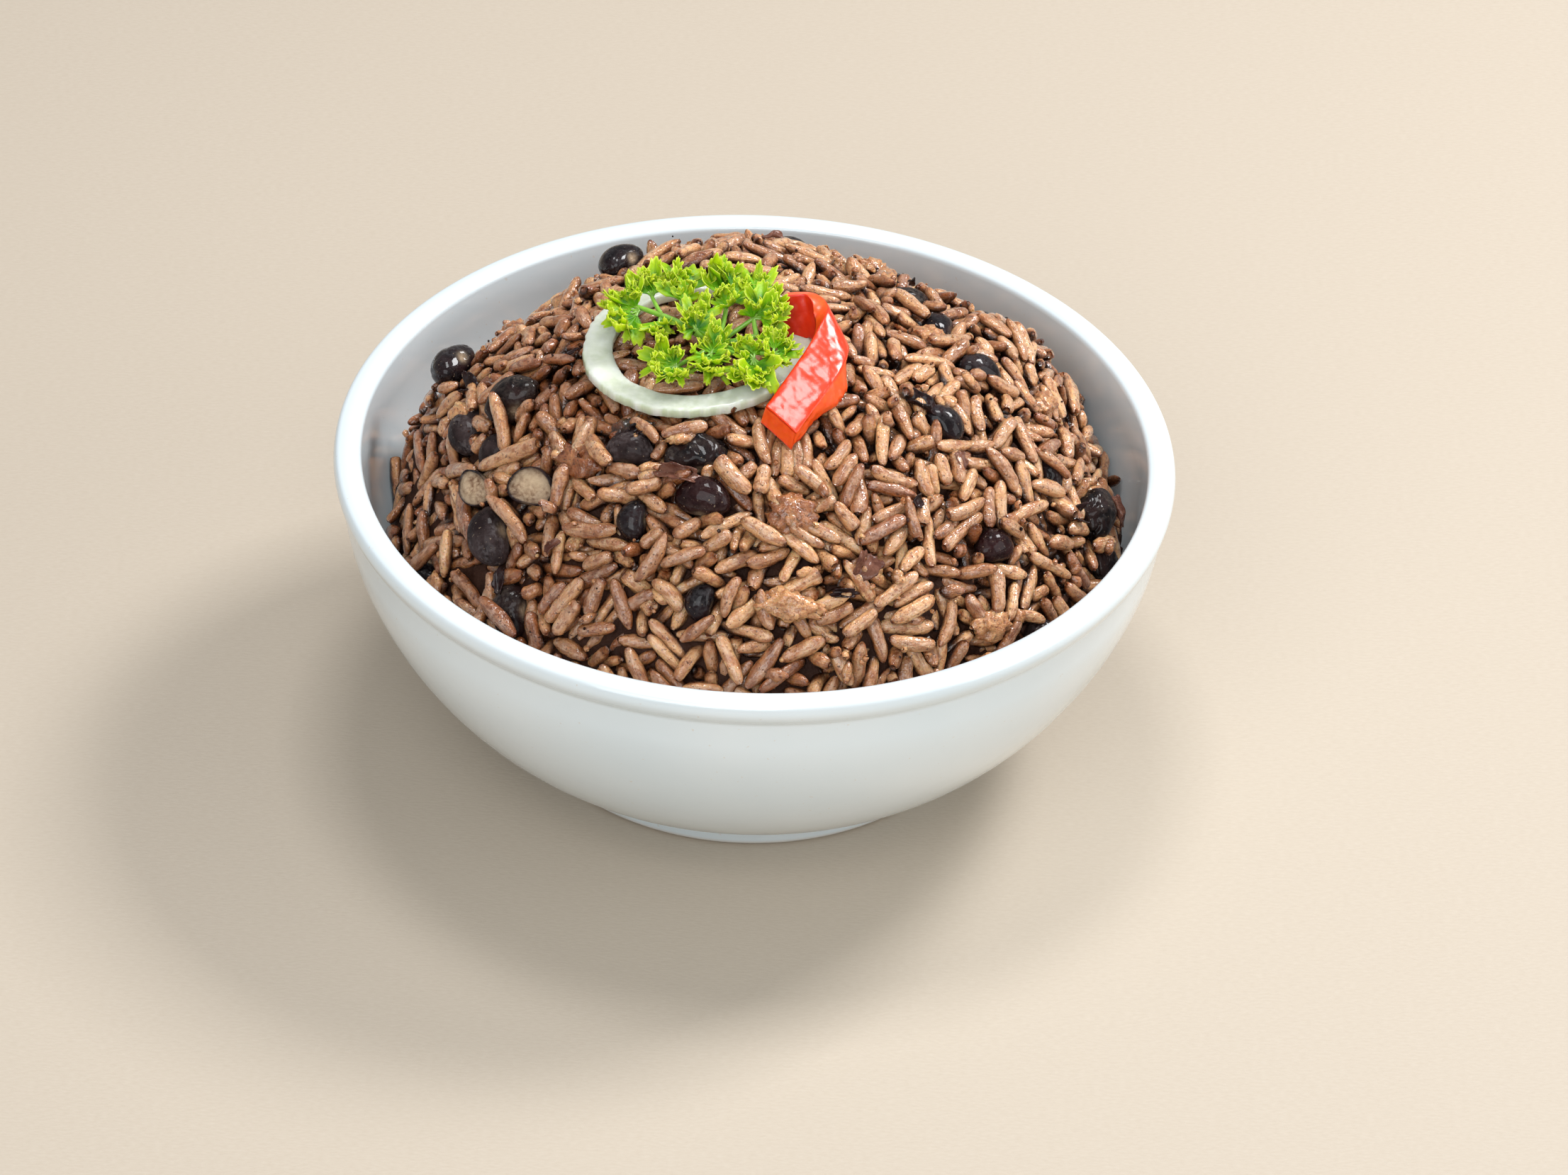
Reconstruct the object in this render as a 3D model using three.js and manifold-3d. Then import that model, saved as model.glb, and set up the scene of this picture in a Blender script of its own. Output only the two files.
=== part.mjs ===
// A white bowl heaped with rice and black beans, with a ring of onion, a curl of red pepper and
// a sprig of curly parsley on top. Millimetres, +Z up, origin on the bowl's axis at its foot.

import * as THREE from 'three';
import { mergeVertices } from 'three/addons/utils/BufferGeometryUtils.js';
import Module from 'manifold-3d';

const wasm = await Module();
wasm.setup();

// ---- Driving dimensions ----

const GAP = 0.3; // left between pieces that touch
const TURN_STEPS = 44; // facets round the bowl and the heap
const SLOPE_STEP = 2; // spacing of the points that the heap's slope is taken from
const UP = new THREE.Vector3(0, 0, 1);

const BOWL = {
  height: 59.3,
  rimRadius: 77.5,
  rimWidth: 4.3,
  rimEdge: 0.6, // rounding of the rim's and the foot's edges
  mouthRadius: 71.6,
  lipDrop: 1.5, // from the rim down to where the inside wall starts
  collarRadius: 77.1,
  collarFoot: 55.6,
  grooveRadius: 75.9,
  grooveHeight: 54.6,
  shoulderRadius: 75.5,
  shoulderHeight: 49.2,
  footTopRadius: 44.3,
  footTop: 6.3,
  footRadius: 43.5,
  footRingWidth: 5.5,
  footTaper: 1.2,
  recess: 3,
  floor: 10.5,
  outerRoundness: 1.51,
  innerRoundness: 2.6,
};

const HEAP = {
  peak: new THREE.Vector2(-3, -3),
  peakHeight: 85.4,
  edgeHeight: 40,
  edgeRise: new THREE.Vector2(2.4, 2), // how much higher the edge is at +X and at +Y
  roundness: 3,
  grainDepth: 1.2, // from the tops of the grains down to the bare core
  bump: 1,
  hidden: 8, // from the edge down to the highest loop against the wall
  rings: [1, 0.92, 0.82, 0.7, 0.56, 0.4, 0.2], // shares of the way from the peak to the wall
  lumps: [
    { x: 52, y: 26, radius: 13, height: 7.5 },
    { x: -5, y: 50, radius: 16, height: 3.5 },
    { x: -60, y: 12, radius: 12, height: 8.7 },
  ],
};

// Ranges are low and high: of a grain's length, width, tilt in radians, and lift off the core.
const GRAIN = {
  length: [7.2, 11],
  width: [2.6, 3.2],
  tilt: [-0.25, 0.25],
  lift: [0.35, 0.85],
  shoulder: 0.34, // share of the length from the middle to where the ends start
  sides: 4,
  tries: 222,
  seed: 11,
};

// Width, thickness and bend are shares of the length; the bend is nil at the middle of each half.
const BEAN = { width: 0.74, thickness: 0.66, bend: 0.12, sink: 0.7, sides: 6, rings: 4 };

// Each bean's place in plan, its length, the angle that it lies at, and how far it sits up.
const BEANS = [
  { x: -26, y: 34.5, length: 10, turn: 60, lift: 2.6 },
  { x: -56, y: 14.5, length: 10.6, turn: 70, lift: 1.8 },
  { x: -43.5, y: -7.2, length: 12, turn: 10, lift: 1.8 },
  { x: -52.9, y: -4.2, length: 10.5, turn: 80 },
  { x: -47.3, y: -14.4, length: 8, turn: 20 },
  { x: -48.6, y: -21.2, length: 8, turn: 115, lift: 2.3 },
  { x: -39.1, y: -27.8, length: 9.6, turn: -20, lift: 1 },
  { x: -46.6, y: -30, length: 11.2, turn: 70, lift: 1.1 },
  { x: -59.9, y: -21.7, length: 7.4, turn: 112 },
  { x: -42.8, y: -41.8, length: 9.8, turn: 60 },
  { x: -22.4, y: -28, length: 9, turn: -15 },
  { x: -10.6, y: -31.3, length: 10.8, turn: 12, lift: 0.4 },
  { x: -8.5, y: -38.6, length: 10, turn: -12, lift: 0.2 },
  { x: -21.2, y: -39.8, length: 7.4, turn: 75 },
  { x: -8.5, y: -52.1, length: 7, turn: 75 },
  { x: 27, y: 23.5, length: 8, turn: 20 },
  { x: 32.8, y: 14.5, length: 8, turn: 75 },
  { x: 40.6, y: 5.8, length: 8.8, turn: 10 },
  { x: 34.2, y: -14.6, length: 8.8, turn: -25 },
  { x: 54.5, y: -8, length: 7.4, turn: 95 },
  { x: 44.2, y: -31.5, length: 8.2, turn: 20 },
  { x: 62.4, y: -6.7, length: 11.6, turn: 75, lift: 1.2 },
  { x: 65.2, y: -12.8, length: 8.4, turn: 60 },
  { x: 53, y: -37, length: 6.6, turn: 50 },
];

// More beans on the far side, spread over an arc in degrees; ranges are low and high.
const FAR_BEANS = { count: 4, arc: [35, 150], radius: [44, 60], length: [7.5, 10.1], seed: 5 };

const RING = {
  x: -10.8,
  y: -4.9,
  radius: 18,
  width: 5.2,
  thickness: 2,
  flat: 0.75, // share of the width that is flat
  lift: 0.45,
  steps: 36,
};

const PEPPER = {
  width: 7.9,
  thickness: 3,
  across: new THREE.Vector3(-0.71, 0.66, 0.24), // from the lower edge to the upper edge
  section: [[-1, -1], [0, -0.88], [1, -1], [1, 1], [0, 1.12], [-1, 1]],
  steps: 14,
  path: [
    new THREE.Vector3(4.6, -27.6, 84.3),
    new THREE.Vector3(9.3, -19.6, 87.5),
    new THREE.Vector3(12.2, -13.2, 89.3),
    new THREE.Vector3(12.9, -6.8, 90.4),
    new THREE.Vector3(9, -2.6, 90),
    new THREE.Vector3(4, -1.8, 89.2),
  ],
};

const PARSLEY = {
  thickness: 0.9,
  stemRadius: 0.75,
  stemSides: 5,
  stemReach: 0.2, // share of the leaf that its stem runs into
  ruffle: 1,
  lobes: 4,
  root: 0.12, // share of the leaf's length where the fan starts
  notch: 0.82, // length of the fan between two lobes, as a share
};

// Stems run from the crown of the sprig to each leaf, which fans out from its base to its tip.
const CROWN = new THREE.Vector3(-7.5, -8.5, 87.4);
const LEAVES = [
  { base: [-16.5, 0.5, 88.8], tip: [-18, 12, 91.4], fan: 38 },
  { base: [-18.5, -3.4, 88.2], tip: [-29.6, -1.6, 88.2], fan: 46 },
  { base: [-10, -5.5, 88.8], tip: [-9.5, 4, 92], fan: 34 },
  { base: [-3, -1.5, 89], tip: [-3, 12, 91.6], fan: 32 },
  { base: [-1.5, -6.2, 90.4], tip: [6.4, -2, 94.3], fan: 30 },
  { base: [-0.5, -9.8, 89], tip: [7.4, -12, 92], fan: 32 },
  { base: [-3.4, -12.5, 88], tip: [-0.8, -23, 88.2], fan: 36 },
  { base: [-10.8, -11, 88], tip: [-15.2, -20.2, 87.8], fan: 54 },
];

// ---- Helpers ----

function seededRandom(seed) {
  let state = seed;
  return () => {
    state = (state * 1664525 + 1013904223) % 4294967296;
    return state / 4294967296;
  };
}

function radians(degrees) {
  return THREE.MathUtils.degToRad(degrees);
}

function between([low, high], share) {
  return THREE.MathUtils.lerp(low, high, share);
}

// A closed solid through a row of loops with equally many points. Each loop runs anticlockwise
// seen from the row's far end. A row that isn't closed gets a fan at each end, round the middle
// of the last loop or round the point given.
function loft(loops, closed = false, ends = null) {
  const count = loops[0].length;
  const points = loops.flat();
  const index = [];
  const spans = closed ? loops.length : loops.length - 1;
  for (let i = 0; i < spans; i += 1) {
    const here = i * count;
    const next = ((i + 1) % loops.length) * count;
    for (let j = 0; j < count; j += 1) {
      const k = (j + 1) % count;
      index.push(here + j, here + k, next + k, here + j, next + k, next + j);
    }
  }
  if (!closed) {
    const last = (loops.length - 1) * count;
    points.push(...(ends ?? [middle(loops[0]), middle(loops[loops.length - 1])]));
    for (let j = 0; j < count; j += 1) {
      const k = (j + 1) % count;
      index.push(points.length - 2, k, j, points.length - 1, last + j, last + k);
    }
  }
  return indexed(points, index);
}

function middle(loop) {
  const sum = new THREE.Vector3();
  loop.forEach((point) => sum.add(point));
  return sum.divideScalar(loop.length);
}

function indexed(points, index) {
  const geometry = new THREE.BufferGeometry().setFromPoints(points);
  geometry.setIndex(index);
  return geometry;
}

function toSolid(source) {
  const geometry = source.clone();
  geometry.deleteAttribute('normal');
  geometry.deleteAttribute('uv');
  const merged = mergeVertices(geometry, 1e-4);
  const mesh = new wasm.Mesh({
    numProp: 3,
    vertProperties: new Float32Array(merged.attributes.position.array),
    triVerts: new Uint32Array(merged.index.array),
  });
  return new wasm.Manifold(mesh);
}

function toGeometry(solid) {
  const mesh = solid.getMesh();
  const geometry = new THREE.BufferGeometry();
  const positions = new THREE.BufferAttribute(new Float32Array(mesh.vertProperties), 3);
  geometry.setAttribute('position', positions);
  geometry.setIndex(new THREE.BufferAttribute(new Uint32Array(mesh.triVerts), 1));
  return geometry;
}

function largestPiece(solid) {
  return solid.decompose().reduce((a, b) => (a.volume() > b.volume() ? a : b));
}

// ---- Bowl ----

// One quarter of a superellipse, as shares: from fully out and not down, to fully down on the
// axis.
function roundedQuarter(steps, roundness) {
  return Array.from({ length: steps + 1 }, (_, i) => {
    const angle = (Math.PI / 2) * (i / steps);
    return {
      out: Math.max(Math.cos(angle), 0) ** (2 / roundness),
      down: Math.sin(angle) ** (2 / roundness),
    };
  });
}

// The inside wall, from the lip down to the middle of the floor.
const lipHeight = BOWL.height - BOWL.lipDrop;
const insideWall = roundedQuarter(7, BOWL.innerRoundness).map(({ out, down }) => (
  new THREE.Vector2(BOWL.mouthRadius * out, lipHeight - (lipHeight - BOWL.floor) * down)
));

function wallRadius(height) {
  const lip = insideWall[0];
  if (height >= lip.y) return lip.x;
  const i = insideWall.findIndex((point) => point.y <= height);
  const above = insideWall[i - 1];
  const below = insideWall[i];
  return THREE.MathUtils.mapLinear(height, below.y, above.y, below.x, above.x);
}

function bowlProfile() {
  const edge = BOWL.rimEdge;
  const footInner = BOWL.footRadius - BOWL.footRingWidth;
  const foot = [
    [0, BOWL.recess],
    [footInner - BOWL.footTaper, BOWL.recess],
    [footInner, 0],
    [BOWL.footRadius - edge, 0],
    [BOWL.footRadius, edge],
  ];
  const flare = BOWL.shoulderRadius - BOWL.footTopRadius;
  const rise = BOWL.shoulderHeight - BOWL.footTop;
  const body = roundedQuarter(6, BOWL.outerRoundness).reverse().map(({ out, down }) => [
    BOWL.footTopRadius + flare * out,
    BOWL.shoulderHeight - rise * down,
  ]);
  const rimInner = BOWL.rimRadius - BOWL.rimWidth;
  const rim = [
    [BOWL.grooveRadius, BOWL.grooveHeight],
    [BOWL.collarRadius, BOWL.collarFoot],
    [BOWL.rimRadius, BOWL.height - 3 * edge],
    [BOWL.rimRadius - edge, BOWL.height - edge],
    [BOWL.rimRadius - 3 * edge, BOWL.height],
    [rimInner + edge, BOWL.height],
    [rimInner - edge, BOWL.height - edge],
  ];
  const outside = [...foot, ...body, ...rim].map(([r, z]) => new THREE.Vector2(r, z));
  return [...outside, ...insideWall];
}

function bowlGeometry() {
  const geometry = new THREE.LatheGeometry(bowlProfile(), TURN_STEPS);
  return geometry.rotateX(Math.PI / 2);
}

// ---- Heap surface ----

// Where a line from the peak meets the bowl's wall: the direction, how far, and how high.
function heapEdge(angle) {
  const along = new THREE.Vector2(Math.cos(angle), Math.sin(angle));
  const height = HEAP.edgeHeight + HEAP.edgeRise.dot(along);
  const radius = wallRadius(height - HEAP.grainDepth) * Math.cos(Math.PI / TURN_STEPS) - GAP;
  const lean = HEAP.peak.dot(along);
  const reach = Math.sqrt(lean ** 2 + radius ** 2 - HEAP.peak.lengthSq()) - lean;
  return { along, height, reach };
}

// The bare core's surface, at a share of the way from the peak to the wall.
function heapPoint(share, angle) {
  const edge = heapEdge(angle);
  const plan = edge.along.multiplyScalar(edge.reach * share).add(HEAP.peak);
  let height = edge.height + (HEAP.peakHeight - edge.height) * (1 - share ** HEAP.roundness);
  HEAP.lumps.forEach((lump) => {
    const far = ((plan.x - lump.x) ** 2 + (plan.y - lump.y) ** 2) / lump.radius ** 2;
    height += lump.height * Math.exp(-far);
  });
  return new THREE.Vector3(plan.x, plan.y, height - HEAP.grainDepth);
}

function heapHeight(x, y) {
  const away = new THREE.Vector2(x, y).sub(HEAP.peak);
  const angle = away.angle();
  return heapPoint(Math.min(away.length() / heapEdge(angle).reach, 1), angle).z;
}

function heapNormal(x, y) {
  const step = SLOPE_STEP;
  const slopeX = (heapHeight(x + step, y) - heapHeight(x - step, y)) / (2 * step);
  const slopeY = (heapHeight(x, y + step) - heapHeight(x, y - step)) / (2 * step);
  return new THREE.Vector3(-slopeX, -slopeY, 1).normalize();
}

// Lays a shape made along X with its back to Z on the heap, at a place and an angle in plan.
function layOnHeap(x, y, turn, lift, tilt = 0) {
  const normal = heapNormal(x, y);
  const along = new THREE.Vector3(Math.cos(turn), Math.sin(turn), 0);
  along.addScaledVector(normal, -along.dot(normal)).normalize();
  const side = new THREE.Vector3().crossVectors(normal, along);
  const place = new THREE.Vector3(x, y, heapHeight(x, y)).addScaledVector(normal, lift);
  const frame = new THREE.Matrix4().makeBasis(along, side, normal).setPosition(place);
  return frame.multiply(new THREE.Matrix4().makeRotationY(tilt));
}

// ---- Beans ----

function allBeans() {
  const random = seededRandom(FAR_BEANS.seed);
  const far = Array.from({ length: FAR_BEANS.count }, (_, i) => {
    const angle = radians(between(FAR_BEANS.arc, (i + random()) / FAR_BEANS.count));
    const radius = between(FAR_BEANS.radius, random());
    return {
      x: radius * Math.cos(angle),
      y: radius * Math.sin(angle),
      length: between(FAR_BEANS.length, random()),
      turn: 180 * random(),
    };
  });
  return [...BEANS, ...far];
}

// A kidney shape lying along X, its hollow side to -Y.
function beanGeometry(bean, grow = 0) {
  const half = bean.length / 2 + grow;
  const wide = (bean.length * BEAN.width) / 2 + grow;
  const thick = (bean.length * BEAN.thickness) / 2 + grow;
  const geometry = new THREE.SphereGeometry(1, BEAN.sides, BEAN.rings).rotateZ(Math.PI / 2);
  const spots = geometry.attributes.position;
  for (let i = 0; i < spots.count; i += 1) {
    const x = spots.getX(i);
    const bend = BEAN.bend * bean.length * (0.25 - x ** 2);
    spots.setXYZ(i, x * half, spots.getY(i) * wide + bend, spots.getZ(i) * thick);
  }
  const place = layOnHeap(bean.x, bean.y, radians(bean.turn), (bean.lift ?? 0) - BEAN.sink);
  return geometry.applyMatrix4(place);
}

// ---- Onion ring ----

function ringGeometry(grow = 0) {
  const halfWidth = RING.width / 2 + grow;
  const halfThick = RING.thickness / 2 + grow;
  const { flat } = RING;
  const section = [[1, 0], [flat, 1], [-flat, 1], [-1, 0], [-flat, -1], [flat, -1]];
  const loops = Array.from({ length: RING.steps }, (_, i) => {
    const angle = (2 * Math.PI * i) / RING.steps;
    const inward = new THREE.Vector3(-Math.cos(angle), -Math.sin(angle), 0);
    const centre = new THREE.Vector3(RING.x, RING.y, 0).addScaledVector(inward, -RING.radius);
    centre.z = heapHeight(centre.x, centre.y) + RING.lift + RING.thickness / 2;
    return section.map(([u, v]) => centre.clone()
      .addScaledVector(inward, u * halfWidth)
      .addScaledVector(UP, v * halfThick));
  });
  return loft(loops, true);
}

// ---- Pepper strip ----

function pepperGeometry(grow = 0) {
  const curve = new THREE.CatmullRomCurve3(PEPPER.path);
  const across = PEPPER.across.clone().normalize();
  const halfWidth = PEPPER.width / 2 + grow;
  const halfThick = PEPPER.thickness / 2 + grow;
  const loops = Array.from({ length: PEPPER.steps + 1 }, (_, i) => {
    const along = curve.getTangentAt(i / PEPPER.steps);
    const out = new THREE.Vector3().crossVectors(along, across).normalize();
    const middlePoint = curve.getPointAt(i / PEPPER.steps);
    return PEPPER.section.map(([u, v]) => middlePoint.clone()
      .addScaledVector(across, u * halfWidth)
      .addScaledVector(out, v * halfThick));
  });
  return loft(loops);
}

// ---- Parsley ----

// A fan with a ruffled edge, its two faces split alike.
function leafGeometry(leaf, grow = 0) {
  const rows = [PARSLEY.root, 1];
  const columns = 2 * PARSLEY.lobes;
  const half = PARSLEY.thickness / 2 + grow;
  const base = new THREE.Vector3(...leaf.base);
  const along = new THREE.Vector3(...leaf.tip).sub(base);
  const faces = [half, -half].map((offset) => rows.flatMap((row) => (
    Array.from({ length: columns + 1 }, (_, j) => {
      const lobe = j % 2 === 1;
      const reach = row * (lobe ? 1 : PARSLEY.notch);
      const wave = PARSLEY.ruffle * row * (lobe ? 1 : -1);
      const turn = radians(leaf.fan) * ((2 * j) / columns - 1);
      const point = along.clone().applyAxisAngle(UP, turn).multiplyScalar(reach);
      return point.addScaledVector(UP, wave + offset).add(base);
    })
  )));
  const wide = columns + 1;
  const sheet = rows.length * wide;
  const index = [];
  const quad = (a, b, c, d) => index.push(a, b, c, a, c, d);
  for (let j = 0; j < columns; j += 1) {
    const tip = wide + j;
    quad(j, tip, tip + 1, j + 1);
    index.push(sheet + j, sheet + tip + 1, sheet + tip, sheet + j, sheet + j + 1, sheet + tip + 1);
    quad(j, j + 1, sheet + j + 1, sheet + j);
    quad(tip, sheet + tip, sheet + tip + 1, tip + 1);
  }
  quad(0, sheet, sheet + wide, wide);
  quad(columns, wide + columns, sheet + wide + columns, sheet + columns);
  return indexed(faces.flat(), index);
}

function stemGeometry(from, to, radius) {
  const along = new THREE.Vector3().subVectors(to, from).normalize();
  const side = new THREE.Vector3().crossVectors(along, UP).normalize();
  const over = new THREE.Vector3().crossVectors(along, side);
  const loops = [from, to].map((centre) => (
    Array.from({ length: PARSLEY.stemSides }, (_, j) => {
      const angle = (2 * Math.PI * j) / PARSLEY.stemSides;
      return centre.clone()
        .addScaledVector(side, radius * Math.cos(angle))
        .addScaledVector(over, radius * Math.sin(angle));
    })
  ));
  return loft(loops);
}

function parsleySolid(grow = 0) {
  const pieces = LEAVES.flatMap((leaf) => {
    const base = new THREE.Vector3(...leaf.base);
    const inLeaf = base.clone().lerp(new THREE.Vector3(...leaf.tip), PARSLEY.stemReach);
    return [
      toSolid(leafGeometry(leaf, grow)),
      toSolid(stemGeometry(CROWN, inLeaf, PARSLEY.stemRadius + grow)),
    ];
  });
  return largestPiece(wasm.Manifold.union(pieces));
}

// ---- Rice heap ----

// The core fills the bowl below the heap's surface, with a bump for every few grains.
function coreGeometry() {
  const random = seededRandom(GRAIN.seed);
  const angles = Array.from({ length: TURN_STEPS }, (_, i) => (2 * Math.PI * i) / TURN_STEPS);
  const turned = (radius, angle, z) => (
    new THREE.Vector3(radius * Math.cos(angle), radius * Math.sin(angle), z)
  );
  const top = HEAP.edgeHeight - HEAP.hidden;
  const lowest = insideWall.filter((point) => point.y < top && point.x > 0);
  const under = lowest.reverse().map((point) => (
    angles.map((angle) => turned(point.x - GAP, angle, point.y + GAP))
  ));
  const over = HEAP.rings.map((share) => angles.map((angle) => {
    const point = heapPoint(share, angle);
    if (share < 1) point.z -= HEAP.bump * random();
    return point;
  }));
  return loft([...under, ...over]);
}

// A grain along X: two rings with a point at each end.
function grainGeometry(length, width) {
  const loops = [-GRAIN.shoulder, GRAIN.shoulder].map((share) => (
    Array.from({ length: GRAIN.sides }, (_, j) => {
      const angle = (2 * Math.PI * j) / GRAIN.sides;
      return new THREE.Vector3(
        share * length,
        (width / 2) * Math.cos(angle),
        (width / 2) * Math.sin(angle),
      );
    })
  ));
  const ends = [-length / 2, length / 2].map((x) => new THREE.Vector3(x, 0, 0));
  return loft(loops, false, ends);
}

// Grains spread evenly over the core by the golden angle, each turned and tilted by chance.
// One that would cross the bowl, a bean or the garnish is left out.
function riceSolid(keepOut) {
  const random = seededRandom(GRAIN.seed + 1);
  const goldenAngle = Math.PI * (3 - Math.sqrt(5));
  const grains = [];
  for (let i = 0; i < GRAIN.tries; i += 1) {
    const share = Math.sqrt((i + 0.5) / GRAIN.tries);
    const spot = heapPoint(share, i * goldenAngle);
    const length = between(GRAIN.length, random());
    const width = between(GRAIN.width, random());
    const turn = Math.PI * random();
    const tilt = between(GRAIN.tilt, random());
    const place = layOnHeap(spot.x, spot.y, turn, between(GRAIN.lift, random()), tilt);
    const geometry = grainGeometry(length, width).applyMatrix4(place);
    const spots = geometry.attributes.position;
    const inside = Array.from({ length: spots.count }, (_, k) => (
      Math.hypot(spots.getX(k), spots.getY(k)) + 2 * GAP < wallRadius(spots.getZ(k))
    )).every(Boolean);
    if (inside) {
      const grain = toSolid(geometry);
      if (grain.intersect(keepOut).isEmpty()) grains.push(grain);
    }
  }
  const core = toSolid(coreGeometry()).subtract(keepOut);
  return largestPiece(wasm.Manifold.union([core, ...grains]));
}

// ---- Scene ----

const glaze = { color: 0xf1f2ee, roughness: 0.22, metalness: 0 };
const cookedRice = { color: 0x9c7460, roughness: 0.5, metalness: 0 };
const beanSkin = { color: 0x211b20, roughness: 0.35, metalness: 0 };
const rawOnion = { color: 0xdfe3cf, roughness: 0.35, metalness: 0 };
const redPepper = { color: 0xd6220f, roughness: 0.25, metalness: 0 };
const parsleyLeaf = { color: 0x5f9a12, roughness: 0.5, metalness: 0 };

const group = new THREE.Group();

function addPiece(name, geometry, look) {
  const mesh = new THREE.Mesh(geometry, new THREE.MeshStandardMaterial(look));
  mesh.name = name;
  group.add(mesh);
}

const beans = allBeans();
const keepOut = wasm.Manifold.union([
  ...beans.map((bean) => toSolid(beanGeometry(bean, GAP))),
  toSolid(ringGeometry(GAP)),
  toSolid(pepperGeometry(GAP)),
  parsleySolid(GAP),
]);

addPiece('bowl', bowlGeometry(), glaze);
addPiece('rice', toGeometry(riceSolid(keepOut)), cookedRice);
beans.forEach((bean, i) => {
  addPiece(`bean_${String(i + 1).padStart(2, '0')}`, beanGeometry(bean), beanSkin);
});
addPiece('onion_ring', ringGeometry(), rawOnion);
addPiece('pepper_strip', pepperGeometry(), redPepper);
addPiece('parsley', toGeometry(parsleySolid()), parsleyLeaf);

export default group;
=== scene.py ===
import math

import bpy
import numpy as np
from mathutils import Matrix, Vector


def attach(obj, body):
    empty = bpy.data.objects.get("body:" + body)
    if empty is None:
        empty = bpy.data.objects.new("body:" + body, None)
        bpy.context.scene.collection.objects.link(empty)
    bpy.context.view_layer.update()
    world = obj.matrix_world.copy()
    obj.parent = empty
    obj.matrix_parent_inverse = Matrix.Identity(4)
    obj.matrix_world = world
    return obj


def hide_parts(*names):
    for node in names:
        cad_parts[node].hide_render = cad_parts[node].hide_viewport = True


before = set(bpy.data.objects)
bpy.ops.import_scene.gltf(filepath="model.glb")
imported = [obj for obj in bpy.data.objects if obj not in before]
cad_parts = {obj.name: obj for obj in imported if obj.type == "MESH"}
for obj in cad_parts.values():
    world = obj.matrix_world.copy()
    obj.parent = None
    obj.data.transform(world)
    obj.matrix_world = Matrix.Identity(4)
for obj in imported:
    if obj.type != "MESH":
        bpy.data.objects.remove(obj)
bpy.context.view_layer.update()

# ---- Table, light and camera ----
# A pale matt table top in daylight from two small windows, one at the right and one above,
# with wide weak fills from the front and the right. The camera looks down at the bowl and
# leans a little to one side.

MM = 0.001
TABLE_HALF = 1.6
TABLE_DROP = 0.05
DAYLIGHT = (0.985, 0.99, 1.0)
PALE_SKY = (0.95, 0.98, 1.0)
ROOM_COLOUR = (0.95, 0.975, 1.0, 1.0)
ROOM_STRENGTH = 0.34
CAMERA_TARGET = Vector((0.006343, 0.0, 0.026869))
CAMERA_DISTANCE = 1.109083
CAMERA_ELEVATION = math.radians(37.33)
CAMERA_LEAN = math.radians(2.441)
CAMERA_LENS = 136.28


def new_finish(name, roughness, **sockets):
    """A material with one Principled shader, its fixed sockets set by name."""
    material = bpy.data.materials.new(name)
    material.use_nodes = True
    shader = material.node_tree.nodes["Principled BSDF"]
    shader.inputs["Roughness"].default_value = roughness
    for socket, value in sockets.items():
        shader.inputs[socket.replace("_", " ")].default_value = value
    return material, shader


def add_node(material, kind, inputs=None, **settings):
    """Adds a shader node; an input is either a number or another node's output."""
    node = material.node_tree.nodes.new("ShaderNode" + kind)
    for key, value in settings.items():
        setattr(node, key, value)
    for socket, value in (inputs or {}).items():
        if isinstance(value, bpy.types.NodeSocket):
            material.node_tree.links.new(value, node.inputs[socket])
        else:
            node.inputs[socket].default_value = value
    return node


def mottle(material, size, detail=3.0, stretch=(1.0, 1.0, 1.0)):
    """Noise from 0 to 1 with spots of the given size in millimetres."""
    place = add_node(material, "TexCoord").outputs["Object"]
    scaled = add_node(material, "Mapping", {"Vector": place, "Scale": stretch})
    noise = add_node(
        material, "TexNoise",
        {"Vector": scaled.outputs[0], "Scale": 1000.0 / size, "Detail": detail},
    )
    return noise.outputs["Fac"]


def tint(material, amount, first, second):
    """The first colour where amount is 0, the second where it is 1."""
    mix = add_node(material, "Mix", {"Factor": amount}, data_type="RGBA")
    for socket, colour in ((mix.inputs[6], first), (mix.inputs[7], second)):
        if isinstance(colour, bpy.types.NodeSocket):
            material.node_tree.links.new(colour, socket)
        else:
            socket.default_value = (*colour, 1.0)
    return mix.outputs[2]


def relief(material, shader, height, depth):
    """Raises the surface by height times depth, in millimetres."""
    bump = add_node(material, "Bump", {"Height": height, "Distance": depth * MM})
    material.node_tree.links.new(bump.outputs[0], shader.inputs["Normal"])


def use(material, output, shader, socket):
    material.node_tree.links.new(output, shader.inputs[socket])


def mesh_piece(name, points, faces, material, smooth=True):
    """An object from points in millimetres and faces of any length."""
    mesh = bpy.data.meshes.new(name)
    mesh.from_pydata([], [], [])
    points = np.asarray(points, float) * MM
    faces = [np.asarray(group, np.int32) for group in faces if len(group)]
    sizes = np.concatenate([np.full(len(group), group.shape[1]) for group in faces])
    corners = np.concatenate([group.ravel() for group in faces])
    mesh.vertices.add(len(points))
    mesh.vertices.foreach_set("co", points.ravel())
    mesh.loops.add(len(corners))
    mesh.loops.foreach_set("vertex_index", corners)
    mesh.polygons.add(len(sizes))
    starts = np.concatenate([[0], np.cumsum(sizes)[:-1]])
    mesh.polygons.foreach_set("loop_start", starts)
    mesh.polygons.foreach_set("use_smooth", np.full(len(sizes), smooth))
    mesh.update(calc_edges=True)
    mesh.validate()
    mesh.materials.append(material)
    piece = bpy.data.objects.new(name, mesh)
    bpy.context.scene.collection.objects.link(piece)
    return piece


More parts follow.
